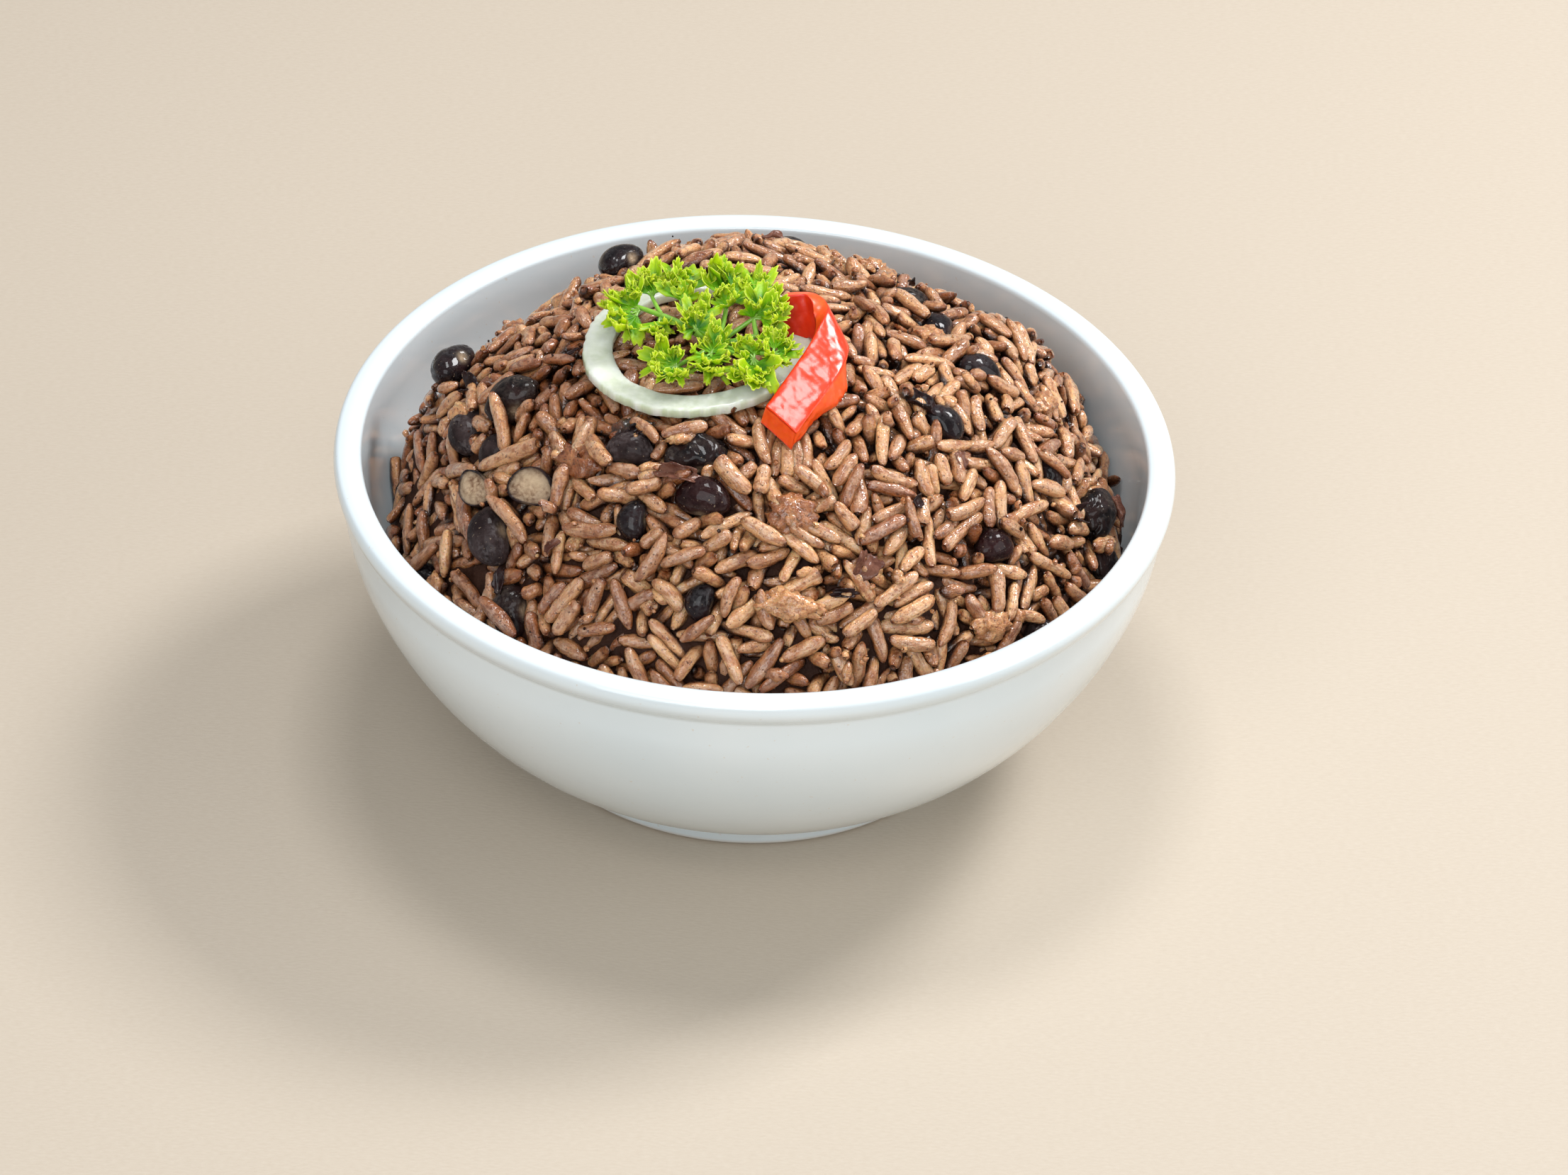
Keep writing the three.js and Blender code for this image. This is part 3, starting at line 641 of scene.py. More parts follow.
def settle_grains(centre, along, sizes, free, proud, rounds):
    """Packs the grains round the beans, which keep their places."""
    count = len(centre)
    radius = 0.47 * np.sqrt(sizes[:, 1] * sizes[:, 2])
    centre, along = pack_grains(
        np.concatenate([centre, [place[0] for place in bean_places]]),
        np.concatenate([along, [place[1] for place in bean_places]]),
        np.concatenate([sizes[:, 0] / 2 - radius, bean_length / 2 - bean_radius]),
        np.concatenate([radius, bean_radius]),
        np.concatenate([free, np.zeros(len(BEANS))]),
        np.concatenate([proud, np.zeros(len(BEANS))]), rounds,
    )
    return centre[:count], along[:count], radius


def highest_over(centre, along, half, radius):
    """How far the grains reach over the heap's surface, at each cell of the plan."""
    tops = np.full(plan_top.shape, -SHELL_DEPTH)
    for share in np.linspace(-1.0, 1.0, 9):
        spot = centre + along * column(share * half)
        over = over_heap(spot)[0]
        cell = np.rint((spot[:, :2] + PLAN_HALF) / PLAN_CELL).astype(int)
        for step_x in range(-2, 3):
            for step_y in range(-2, 3):
                low = (step_x ** 2 + step_y ** 2) * PLAN_CELL ** 2
                top = over + np.sqrt(np.maximum(radius ** 2 - low, 0.0))
                np.maximum.at(tops, (cell[:, 0] + step_x, cell[:, 1] + step_y), top)
    return tops


steep = 1.0 / plan_up[..., 2]
wall_here = wall_radius(np.minimum(plan_top, LIP_HEIGHT))
steep[np.hypot(plan_x, plan_y) > wall_here - 2.0] = 0.0
heap_area = steep.sum() * PLAN_CELL ** 2
bean_length = np.array([bean[2] for bean in BEANS])
bean_radius = bean_length * (BEAN_WIDTH + BEAN_THICKNESS) / 4 - 0.25
hand_count = len(HAND_LAID)
loose_count = int(heap_area * SHELL_DEPTH * SHELL_FILL / GRAIN_VOLUME) - hand_count
cell = dice.choice(steep.size, (loose_count, 6), p=(steep / steep.sum()).ravel())
spots = np.stack([plan_x, plan_y, plan_top], -1).reshape(-1, 3)[cell]
spots = spots - plan_up.reshape(-1, 3)[cell] * dice.uniform(0.9, SHELL_DEPTH - 0.9, (loose_count, 6, 1))
loose = spots[:, 0].copy()
for number in range(1, loose_count):
    away = ((spots[number][:, None] - loose[None, :number]) ** 2).sum(-1)
    loose[number] = spots[number][np.argmax(away.min(1))]
hand_span = hand_to - hand_from
centre = np.concatenate([(hand_from + hand_to) / 2, loose])
along = np.concatenate([unit(hand_span), grain_directions(loose)])
sizes = grain_sizes(len(centre))
sizes[:hand_count, 0] = np.linalg.norm(hand_span, axis=1)
sizes[:hand_count, 1], sizes[:hand_count, 2] = hand_width, 0.9 * hand_width
free = np.where(np.arange(len(centre)) < hand_count, 0.06, 1.0)
proud = dice.normal(0.0, 0.4, len(centre)) + 2.0 * (dice.random(len(centre)) < 0.08)
proud[:hand_count] = 6.0
centre, along, radius = settle_grains(centre, along, sizes, free, proud, FIRST_ROUNDS)

# More grains go into the hollows that are left, and all of them settle again.
tops = highest_over(centre, along, sizes[:, 0] / 2 - radius, radius)
hollow = np.argwhere((tops < ceiling - HOLLOW_DEPTH) & (steep > 0.0) & (ceiling > -2.0))
chosen = []
for cell_x, cell_y in dice.permutation(hollow):
    spot = np.array([plan_x[cell_x, cell_y], plan_y[cell_x, cell_y], plan_top[cell_x, cell_y]])
    spot = spot + plan_up[cell_x, cell_y] * (ceiling[cell_x, cell_y] - 1.6)
    if all(np.linalg.norm(spot - other) > HOLLOW_SPACING for other in chosen):
        chosen.append(spot)
extra = np.array(chosen)
centre = np.concatenate([centre, extra])
along = np.concatenate([along, grain_directions(extra)])
extra_sizes = grain_sizes(len(extra))
extra_sizes[:, 0] *= 0.86
sizes = np.concatenate([sizes, extra_sizes])
free = np.concatenate([free, np.ones(len(extra))])
proud = np.concatenate([proud, dice.normal(0.0, 0.3, len(extra))])
centre, along, radius = settle_grains(centre, along, sizes, free, proud, SECOND_ROUNDS)
tops = highest_over(centre, along, sizes[:, 0] / 2 - radius, radius)

over, _, surface_up = over_heap(centre)
side = np.cross(surface_up, along) + 0.35 * dice.normal(size=centre.shape)
reach = over + radius
grains = list(zip(centre, along, side, sizes, reach))
MIDDLE_BELOW, LOWER_BELOW = -1.7, -3.5
top_grains = [grain for grain in grains if grain[4] > MIDDLE_BELOW]
middle_grains = [grain for grain in grains if LOWER_BELOW < grain[4] <= MIDDLE_BELOW]
lower_grains = [grain for grain in grains if grain[4] <= LOWER_BELOW]

# ---- Rice grains: their shape and finish ----
# Long grains, cooked soft: bent, creased along their length and a little lumpy. Some have
# snapped and some have burst at one end. They are moist, brown with bean water and speckled.
# Buried grains and the sides of grains carry painted shade, and their tops a painted sheen.

GROOVE_WIDTHS = (0.42, 0.30)
GRAIN_LUMPS = 0.045
GRAIN_PIECE_LIMIT = 195000
# Each dark patch of the heap: place in plan, how wide it spreads and how much darker it is.
DARK_PATCHES = ((-38, -6, 12, 0.45), (-20, -27, 8, 0.35), (-50, -45, 10, 0.2), (-6, -28, 9, 0.3))


def grain_meshes(laid, rings, sides, seed):
    """Points, faces and notes of many grains."""
    chance = np.random.default_rng(seed)
    count = len(laid)
    centre, along, side = (np.array([grain[i] for grain in laid]) for i in range(3))
    side = unit(side - along * (along * side).sum(-1, keepdims=True))
    sizes = np.array([grain[3] for grain in laid])
    length, width, thick, bend, taper = sizes.T[:, :, None, None]
    up = np.cross(along, side)
    share = -np.cos(np.linspace(0.0, math.pi, rings + 2))[1:-1][None, :, None]
    turn = all_round(sides)[None, None, :]

    def each(low, high):
        return chance.uniform(low, high, (count, 1, 1))

    def ripple(low, high, turns):
        return np.sin(each(low, high) * share + turns * turn + each(0, 6.28))

    def groove(shallow, deep, width):
        depth = each(shallow, deep)
        off = np.mod(turn - each(0, 6.28), 2 * math.pi) - 3.14
        return 1.0 - depth * np.exp(-(off / width) ** 2)

    skew = each(-0.16, 0.16)
    snapped = np.where((each(0, 1) < 0.2) & (share * np.sign(each(-1, 1)) > 0), 9.0, 0.0)
    body = (1.0 - np.abs(share) ** (taper + snapped)) ** 0.5 * (1.0 + skew * share)
    crease = groove(0.05, 0.22, GROOVE_WIDTHS[0])
    crease = crease * groove(0.0, 0.16, GROOVE_WIDTHS[1])
    lumps = 1.0
    for low, high, turns in ((3, 7, 0), (2, 5, 2), (6, 11, 3)):
        lumps = lumps + GRAIN_LUMPS * ripple(low, high, turns)
    lumps = lumps + each(0.0, 0.07) * ripple(-1, 1, 4)
    burst = (each(0, 1) < 0.12) * np.clip((share * np.sign(each(-1, 1)) - 0.35) / 0.65, 0, 1)
    flare = 1.0 + 0.55 * burst * (0.4 + 0.6 * np.cos(turn * 2 + each(0, 6.28)))
    around_x = share * length / 2 + 0 * turn
    radius = body * crease * lumps * flare
    across = radius * np.cos(turn) * width / 2 + bend * (share ** 2 - 1 / 3) * length
    over = radius * np.sin(turn) * thick / 2 + each(-0.05, 0.05) * (share ** 2 - 1 / 3) * length
    local = np.stack([around_x, across, over], -1).reshape(count, rings * sides, 3)
    tips = np.zeros((count, 2, 3))
    tips[:, 0, 0], tips[:, 1, 0] = -length[:, 0, 0] / 2, length[:, 0, 0] / 2
    tips[:, :, 1] = (bend * length * 2 / 3)[:, :, 0]
    local = np.concatenate([local, tips], 1)
    points = centre[:, None] + local[..., 0:1] * along[:, None] + local[..., 1:2] * side[:, None] \
        + local[..., 2:3] * up[:, None]
    per_grain = rings * sides + 2
    starts = np.arange(count)[:, None, None] * per_grain
    quads = (turned_faces(rings, sides)[None] + starts).reshape(-1, 4)[:, ::-1]
    step = np.arange(sides)
    following = (step + 1) % sides
    first = np.stack([np.full(sides, rings * sides), step, following], -1)
    last_start = (rings - 1) * sides
    last = np.stack([np.full(sides, rings * sides + 1), last_start + following, last_start + step], -1)
    ends = (np.concatenate([first, last])[None] + starts).reshape(-1, 3)
    lay = local + chance.uniform(-90.0, 90.0, (count, 1, 3))
    end_share = np.concatenate([
        np.abs(share + 0 * turn).reshape(1, -1).repeat(count, 0), np.ones((count, 2))
    ], 1)
    points = points.reshape(-1, 3)
    over, limit, surface_up = over_heap(points)
    out = points - np.repeat(centre, per_grain, axis=0)
    axis = np.repeat(along, per_grain, axis=0)
    out = out - axis * column((out * axis).sum(-1))
    out = out / column(np.linalg.norm(out, axis=-1) + 0.3)
    # Painted shade and sheen: points buried deeper under the heap's surface, and sides that face sideways or
    # down, get more shade. Points that face up go below zero, where the finish paints a pale sheen.
    painted_shade_and_sheen = 0.95 * np.clip((np.minimum(limit, 0.5) - 0.9 - over) / 2.5, 0.0, 1.0)
    facing_up = (out * surface_up).sum(-1)
    painted_shade_and_sheen = painted_shade_and_sheen + 0.7 * np.clip(0.5 - facing_up, 0.0, 1.0) - 0.8 * np.clip(facing_up - 0.4, 0.0, 1.0)
    stain = ripple(1, 4, 1) + ripple(3, 8, 2)
    stain = stain + ripple(6, 12, 3) + each(-1.2, 1.0)
    stain = np.concatenate([stain.reshape(count, -1), np.ones((count, 2))], 1).ravel()
    return points, [quads, ends[:, ::-1]], per_grain, end_share.ravel(), painted_shade_and_sheen, stain, lay.reshape(-1, 3)


def note(piece, name, values):
    """Keeps one number per point with the mesh, for its material to read."""
    layer = piece.data.attributes.new(name, "FLOAT", "POINT")
    layer.data.foreach_set("value", np.asarray(values, np.float32))


def note_place(piece, values):
    """Keeps each point's place on its own grain or lump, with millimetres along it first."""
    layer = piece.data.attributes.new("lay", "FLOAT_VECTOR", "POINT")
    layer.data.foreach_set("vector", np.asarray(values, np.float32).ravel())


def noted(material, name):
    return add_node(material, "Attribute", attribute_name=name).outputs["Fac"]


def figure(material, operation, *values):
    """A sum on numbers in a material, such as MULTIPLY."""
    return add_node(material, "Math", dict(enumerate(values)), operation=operation).outputs[0]


rice, rice_shader = new_finish(
    "cooked_rice", 0.34, IOR=1.45, Specular_IOR_Level=0.32, Subsurface_Weight=0.5,
    Subsurface_Scale=0.0018, Coat_Weight=1.0, Coat_Roughness=0.10,
)
rice_shader.inputs["Subsurface Radius"].default_value = (1.0, 0.42, 0.22)
# The depth note holds painted shade above zero and a painted sheen below zero.
tone, end_of_grain, depth = noted(rice, "tone"), noted(rice, "ends"), noted(rice, "depth")


def ridges(size, detail):
    """Noise drawn out along each grain, with ridges of the given width in millimetres."""
    lay = add_node(rice, "Attribute", attribute_name="lay").outputs["Vector"]
    drawn = add_node(rice, "Mapping", {"Vector": lay, "Scale": (0.2, 1.0, 1.0)})
    noise = add_node(rice, "TexNoise", {"Vector": drawn.outputs[0], "Scale": 1.0 / size, "Detail": detail})
    return noise.outputs["Fac"]


rice_colour = tint(rice, tone, (0.33, 0.108, 0.031), (0.75, 0.420, 0.190))
# Painted sheen: the tops of grains, where the depth note is below zero, are tinted pale pink in mottled
# patches.
painted_top_sheen = figure(rice, "MULTIPLY", between(rice, depth, 0.0, -0.4),
               between(rice, mottle(rice, 1.6), 0.35, 0.6, 0.15, 0.6))
rice_colour = tint(rice, painted_top_sheen, rice_colour, (0.60, 0.460, 0.360))
stained = between(rice, noted(rice, "stain"), 0.4, 2.4, 0.0, 0.75)
rice_colour = tint(rice, stained, rice_colour, tint(rice, tone, (0.17, 0.046, 0.013), (0.46, 0.175, 0.062)))
streaks = between(rice, ridges(0.8, 3.0), 0.48, 0.66, 0.0, 0.65)
rice_colour = tint(rice, streaks, rice_colour, tint(rice, tone, (0.15, 0.040, 0.012), (0.44, 0.175, 0.075)))
blotch_colour = tint(rice, tone, (0.14, 0.036, 0.011), (0.34, 0.115, 0.040))
rice_colour = patched(rice, rice_colour, blotch_colour, 1.2, 4.0, 0.54, 0.66, 0.70)
browned = figure(rice, "MULTIPLY", between(rice, end_of_grain, 0.75, 1.0),
                 between(rice, mottle(rice, 2.2), 0.35, 0.6))
rice_colour = tint(rice, browned, rice_colour, (0.19, 0.052, 0.018))
rice_colour = patched(rice, rice_colour, (0.080, 0.024, 0.010), 0.5, 3.0, 0.62, 0.68, 0.85)
# Painted shade: where the depth note rises, the colour goes to sauce brown and then near black. The brown is
# partly bean sauce that collects low down; the near black is shade alone.
rice_colour = tint(rice, between(rice, depth, 0.05, 0.55, 0.0, 0.85), rice_colour, (0.19, 0.058, 0.017))
rice_colour = tint(rice, between(rice, depth, 0.24, 0.78), rice_colour, (0.022, 0.006, 0.002))
use(rice, rice_colour, rice_shader, "Base Color")
use(rice, between(rice, mottle(rice, 0.9), 0.35, 0.7, 0.24, 0.50), rice_shader, "Roughness")
uneven = figure(rice, "MULTIPLY_ADD", ridges(0.55, 2.0), 1.6, mottle(rice, 0.42, 3.0))
uneven = figure(rice, "MULTIPLY_ADD", mottle(rice, 1.4, 2.0), 1.6, uneven)
relief(rice, rice_shader, uneven, 0.24)
wet_height = figure(rice, "MULTIPLY_ADD", mottle(rice, 1.1, 2.0), 2.4, ridges(0.7, 1.0))
wet = add_node(rice, "Bump", {"Height": wet_height, "Distance": 0.15 * MM})
use(rice, wet.outputs[0], rice_shader, "Coat Normal")


# deep is painted shade above zero and painted sheen below zero, kept as the depth note.
def rice_notes(piece, pale, ends, deep, stain, lay):
    """What the rice finish reads at each point, and the CAD node that the piece stands for."""
    for name, values in (("tone", pale), ("ends", ends), ("depth", deep), ("stain", stain)):
        note(piece, name, values)
    note_place(piece, lay)
    dress(piece, "rice", "rice")


def rice_pieces(name, laid, rings, sides, seed):
    """Makes the grains of one layer, in as few pieces as the face limit allows."""
    per_grain = 2 * sides * rings
    parts = math.ceil(len(laid) * per_grain / GRAIN_PIECE_LIMIT)
    order = sorted(laid, key=lambda grain: math.atan2(grain[0][1], grain[0][0]))
    for part in range(parts):
        chosen = order[part * len(order) // parts:(part + 1) * len(order) // parts]
        points, faces, stride, ends, painted_shade_and_sheen, stain, lay = grain_meshes(chosen, rings, sides, seed + part)
        piece = mesh_piece(f"{name}_{part + 1}", points, faces, rice)
        chance = np.random.default_rng(seed + 50 + part)
        centre = np.array([grain[0] for grain in chosen])
        shade = 0.58 + 0.17 * wavy(*centre.T, 30.0, 21) + chance.normal(0, 0.28, len(chosen))
        # Painted light: grains are paler towards the right, as if lit from that side.
        shade += 0.0016 * centre[:, 0]
        for x, y, spread, amount in DARK_PATCHES:
            shade -= amount * np.exp(-((centre[:, 0] - x) ** 2 + (centre[:, 1] - y) ** 2) / spread ** 2)
        rice_notes(piece, np.repeat(np.clip(shade, 0.0, 1.0), stride), ends,
                   np.clip(painted_shade_and_sheen, -0.5, 0.92), stain, lay)


rice_pieces("rice_lower_grains", lower_grains, 6, 8, 100)
rice_pieces("rice_middle_grains", middle_grains, 8, 10, 150)
rice_pieces("rice_top_grains", top_grains, 12, 13, 200)

# ---- Mashed rice, broken grains and crumbs ----
# Here and there grains have burst and stuck together into lumps, some of them brown with
# bean. Broken bits of grain and crumbs no bigger than a pinhead lie scattered on the rest.

# Each lump: place in plan, its three widths, turn, lift, and how pale it is.
LUMPS_OF_RICE = (
    (7.6, -52.3, 11.5, 5.6, 4.4, -12, 0.1, 0.80), (43.8, -42.3, 8.0, 5.8, 4.6, 20, 0.0, 0.70),
    (7.2, -40.9, 9.4, 7.0, 3.8, 35, -0.3, 0.16), (-31.0, -27.5, 6.6, 10.5, 4.6, 70, -0.5, 0.02),
    (-21.8, -24.6, 7.4, 5.4, 3.6, 10, -0.2, 0.00), (-12.8, -28.6, 6.2, 3.6, 2.6, 15, 1.7, 1.00),
    (-52.6, -1.2, 5.2, 2.9, 2.4, 0, 1.9, 1.00), (-57.0, -27.6, 5.4, 5.2, 4.0, 50, 0.0, 0.60),
    (30.5, 8.0, 6.0, 5.0, 3.6, 40, 0.2, 0.60), (52.5, 8.0, 7.5, 5.2, 4.0, 60, 0.2, 0.62),
    (20.5, 36.0, 8.0, 5.5, 4.4, 20, 0.2, 0.55), (-46.0, 24.0, 7.0, 5.5, 4.0, 120, 0.2, 0.50),
)
LUMP_ROWS, LUMP_SIDES = 24, 28
CRUMB_COUNT = 240
BIT_COUNT = 80


def ball_points(rows, sides):
    """Points of a ball of radius 1 in rows along X, then its two poles, and its faces."""
    polar = np.linspace(0.0, math.pi, rows + 2)[1:-1]
    polar, turn = np.meshgrid(polar, all_round(sides), indexing="ij")
    x = np.append(-np.cos(polar).ravel(), (-1.0, 1.0))
    y = np.append((np.sin(polar) * np.cos(turn)).ravel(), (0.0, 0.0))
    z = np.append((np.sin(polar) * np.sin(turn)).ravel(), (0.0, 0.0))
    step = np.arange(sides)
    following = (step + 1) % sides
    last = (rows - 1) * sides
    ends = np.concatenate([
        np.stack([np.full(sides, rows * sides), following, step], -1),
        np.stack([np.full(sides, rows * sides + 1), last + step, last + following], -1),
    ])
    return np.stack([x, y, z], -1), turned_faces(rows, sides)[:, ::-1], ends


def joined(shapes, quads, ends):
    """Points and faces of many shapes that share one layout."""
    starts = np.arange(len(shapes))[:, None, None] * len(shapes[0])
    faces = [(quads[None] + starts).reshape(-1, 4), (ends[None] + starts).reshape(-1, 3)]
    return np.concatenate(shapes), faces


ball, lump_quads, lump_ends = ball_points(LUMP_ROWS, LUMP_SIDES)
lump_shapes, lump_pale, lump_lay = [], [], []
for number, (x, y, long, wide, thick, turn, lift, pale) in enumerate(LUMPS_OF_RICE):
    middle, along_lump, side_lump, up = lie_on_heap(np.float64(x), np.float64(y), math.radians(turn), lift)
    knobbly = 1.0
    for height, size, seed in ((0.15, 3.4, 400), (0.13, 1.7, 420), (0.08, 0.9, 440)):
        knobbly = knobbly + height * wavy(*(ball * (long, wide, thick) / 2).T, size, seed + number)
    local = ball * knobbly[:, None] * (long / 2, wide / 2, thick / 2)
    lump_shapes.append(middle + local @ np.array([along_lump, side_lump, up]))
    lump_lay.append(local * (2.5, 1.0, 1.0) + 20.0 * number)
    lump_pale.append(np.clip(pale + 0.12 * wavy(*local.T, 2.5, 460 + number), 0.0, 1.0))
lump_points, lump_faces = joined(lump_shapes, lump_quads, lump_ends)
mashed = mesh_piece("mashed_rice", lump_points, lump_faces, rice)
# The depth note of the lumps is painted shade where they sink under the heap's surface, plus the real bean
# brown of the darkest lumps.
over, limit, _ = over_heap(lump_points)
lump_dark = 0.42 * np.clip(1.0 - np.concatenate(lump_pale) / 0.3, 0.0, 1.0)
lump_stain = 1.0 + 0.8 * wavy(*lump_points.T, 2.0, 480)
rice_notes(mashed, np.concatenate(lump_pale), np.full(len(lump_points), 0.7),
           np.clip((limit - 0.4 - over) / 3.0 + lump_dark, 0.0, 0.9), lump_stain, np.concatenate(lump_lay))


def on_the_grains(count, chance):
    """Chance places on top of the grains, with the heap's upward direction there."""
    cell = chance.choice(steep.size, count, p=(steep / steep.sum()).ravel())
    spot = np.stack([plan_x, plan_y, plan_top], -1).reshape(-1, 3)[cell]
    up = plan_up.reshape(-1, 3)[cell]
    return spot + up * tops.ravel()[cell][:, None], up


def scattered(count, ball, chance, widths, flatness, roughness=0.0):
    """Crumbs of chance size and turn, each a ball squashed and roughened by chance."""
    shapes = []
    for spot in on_the_grains(count, chance)[0]:
        width = chance.uniform(*widths) * chance.uniform(*flatness, 3)
        turned_axes = np.linalg.qr(chance.normal(size=(3, 3)))[0]
        rough = 1.0 + chance.normal(0.0, roughness, (len(ball), 1)) if roughness else 1.0
        shapes.append(spot + (ball * rough * width / 2) @ turned_axes)
    return shapes


crumb_dice = np.random.default_rng(97)
ball, crumb_quads, crumb_ends = ball_points(5, 7)
crumb_shapes = scattered(CRUMB_COUNT, ball, crumb_dice, (0.7, 1.9), (0.6, 1.0), 0.12)
crumb_points, crumb_faces = joined(crumb_shapes, crumb_quads, crumb_ends)
crumbs = mesh_piece("rice_crumbs", crumb_points, crumb_faces, rice)
rice_notes(crumbs, np.repeat(crumb_dice.uniform(0.1, 1.0, CRUMB_COUNT), len(ball)),
           np.full(len(crumb_points), 0.6), np.zeros(len(crumb_points)),
           np.repeat(crumb_dice.uniform(-1.0, 2.0, CRUMB_COUNT), len(ball)), crumb_points)

bit_dice = np.random.default_rng(131)
ball, bit_quads, bit_ends = ball_points(12, 14)
spots, bit_up = on_the_grains(BIT_COUNT, bit_dice)
bit_shapes = []
for number, (spot, up) in enumerate(zip(spots, bit_up)):
    broken = np.array([bit_dice.uniform(2.6, 4.6), bit_dice.uniform(2.0, 2.9), bit_dice.uniform(1.7, 2.4)])
    local = ball * broken / 2
    knobbly = 1.0 + 0.14 * wavy(*local.T, 2.2, 600 + number) + 0.06 * wavy(*local.T, 1.0, 700 + number)
    local = local * knobbly[:, None]
    turned_axes = np.linalg.qr(bit_dice.normal(size=(3, 3)))[0]
    bit_shapes.append(spot - up * 0.5 + local @ turned_axes)
bit_points, bit_faces = joined(bit_shapes, bit_quads, bit_ends)
bits = mesh_piece("rice_bits", bit_points, bit_faces, rice)
over, limit, bit_ups = over_heap(bit_points)
# Painted shade and sheen: each bit is darker low down and paler on top, through the depth note.
bit_out = ((bit_points - np.repeat(spots, len(ball), axis=0)) * bit_ups).sum(-1)
rice_notes(bits, np.repeat(bit_dice.uniform(0.2, 1.0, BIT_COUNT), len(ball)),
           np.tile(np.abs(ball[:, 0]), BIT_COUNT), np.clip(0.25 - 0.5 * bit_out, -0.4, 0.9),
           1.2 * wavy(*bit_points.T, 1.8, 720), bit_points)

# ---- Black beans ----
# Cooked black beans: kidney shapes with a thin dark skin, a pale scar on the hollow side,
# and wrinkles or tears where the skin has dried. Split ones show their pale mealy inside.

BEAN_ROWS, BEAN_SIDES = 40, 48
SKIN_RIM = 0.45
STARCH = (0.26, 0.19, 0.13)
# By look: the kinds of bean, the colours of its skin, of its bloom and of dried starch on it,
# and how rough and how wet it is.
BEAN_LOOKS = {
    "black_beans_whole": (
        ("whole",), (0.005, 0.003, 0.004), (0.020, 0.009, 0.010), (0.036, 0.032, 0.034), 0.27, 0.4),
    "black_beans_dusty": (
        ("dusty",), (0.018, 0.011, 0.011), (0.055, 0.037, 0.036), (0.110, 0.090, 0.090), 0.42, 0.12),
    "black_beans_wrinkled": (
        ("wrinkled", "crushed"),
        (0.004, 0.0025, 0.003), (0.024, 0.011, 0.010), (0.055, 0.042, 0.035), 0.34, 0.3),
    "black_beans_split": (
        ("split",), (0.007, 0.004, 0.005), (0.030, 0.016, 0.016), (0.050, 0.045, 0.048), 0.40, 0.1),
    "black_beans_plum": (
        ("plum",), (0.010, 0.0025, 0.003), (0.026, 0.007, 0.007), (0.036, 0.018, 0.017), 0.26, 0.3),
}


def bean_mesh(place, bean, seed):
    """One bean's points, and for each the share of pale inside that shows."""
    length, kind = bean[2], bean[5]
    middle, along, side, up = place
    x, y, z = ball_points(BEAN_ROWS, BEAN_SIDES)[0].T
    swell = 1.0 + 0.03 * wavy(x, y, z, 1.6, seed)
    if kind in ("wrinkled", "crushed"):
        folds = np.abs(wavy(x, y, z, 0.75, seed + 7)) ** 0.8
        patchy = np.clip(0.8 + 0.5 * wavy(x, y, z, 2.0, seed + 9), 0.2, 1.2)
        swell = swell - 0.12 * np.clip(1.0 - folds, 0.0, 1.0) * patchy + 0.05 * wavy(x, y, z, 1.2, seed + 11)
    else:
        creases = np.abs(wavy(x, 1.8 * y, 1.8 * z, 1.5, seed + 7))
        swell = swell - 0.035 * np.clip(1.0 - 2.5 * creases, 0.0, 1.0)
    px = x * length / 2 * swell
    py = y * length * BEAN_WIDTH / 2 * swell + BEAN_BEND * length * (0.25 - x ** 2) * 0.9
    pz = z * length * BEAN_THICKNESS / 2 * swell
    pale = np.zeros_like(x)
    if kind == "split":
        up = up + 0.9 * np.array(toward_camera)
        up /= np.linalg.norm(up)
        along = along - up * (along @ up)
        along /= np.linalg.norm(along)
        side = np.cross(up, along)
        level = 0.22 * length * BEAN_THICKNESS / 2
        cut = pz > level
        out = x ** 2 + y ** 2
        inner = np.clip((0.84 - out) / 0.16, 0.0, 1.0)
        mealy = 0.25 * (1.0 - out) + 0.15 * wavy(px, py, 0 * pz, 1.3, seed + 3)
        pz = np.where(cut, level + SKIN_RIM * (1.0 - inner) + inner * mealy, pz)
        pale = np.where(cut, np.clip(inner * 1.6 - 0.3, 0.0, 1.0) * (1.0 - 0.6 * out), 0.0)
    if kind == "crushed":
        pale = 0.8 * np.clip(wavy(x, y, z, 1.1, seed + 5) - 0.9, 0.0, 1.0) * (z > 0.1)
        pz = pz * (1.0 - 0.3 * (z > 0)) + 0.25 * wavy(px, py, pz, 2.4, seed + 6)
        px = px * 1.08
    scar = np.exp(-((x / 0.22) ** 2) - ((y + 1.0) / 0.10) ** 2 - (z / 0.3) ** 2)
    py = py + 0.35 * scar
    points = middle + px[:, None] * along + py[:, None] * side + pz[:, None] * up
    return points, np.maximum(pale, 0.7 * scar)


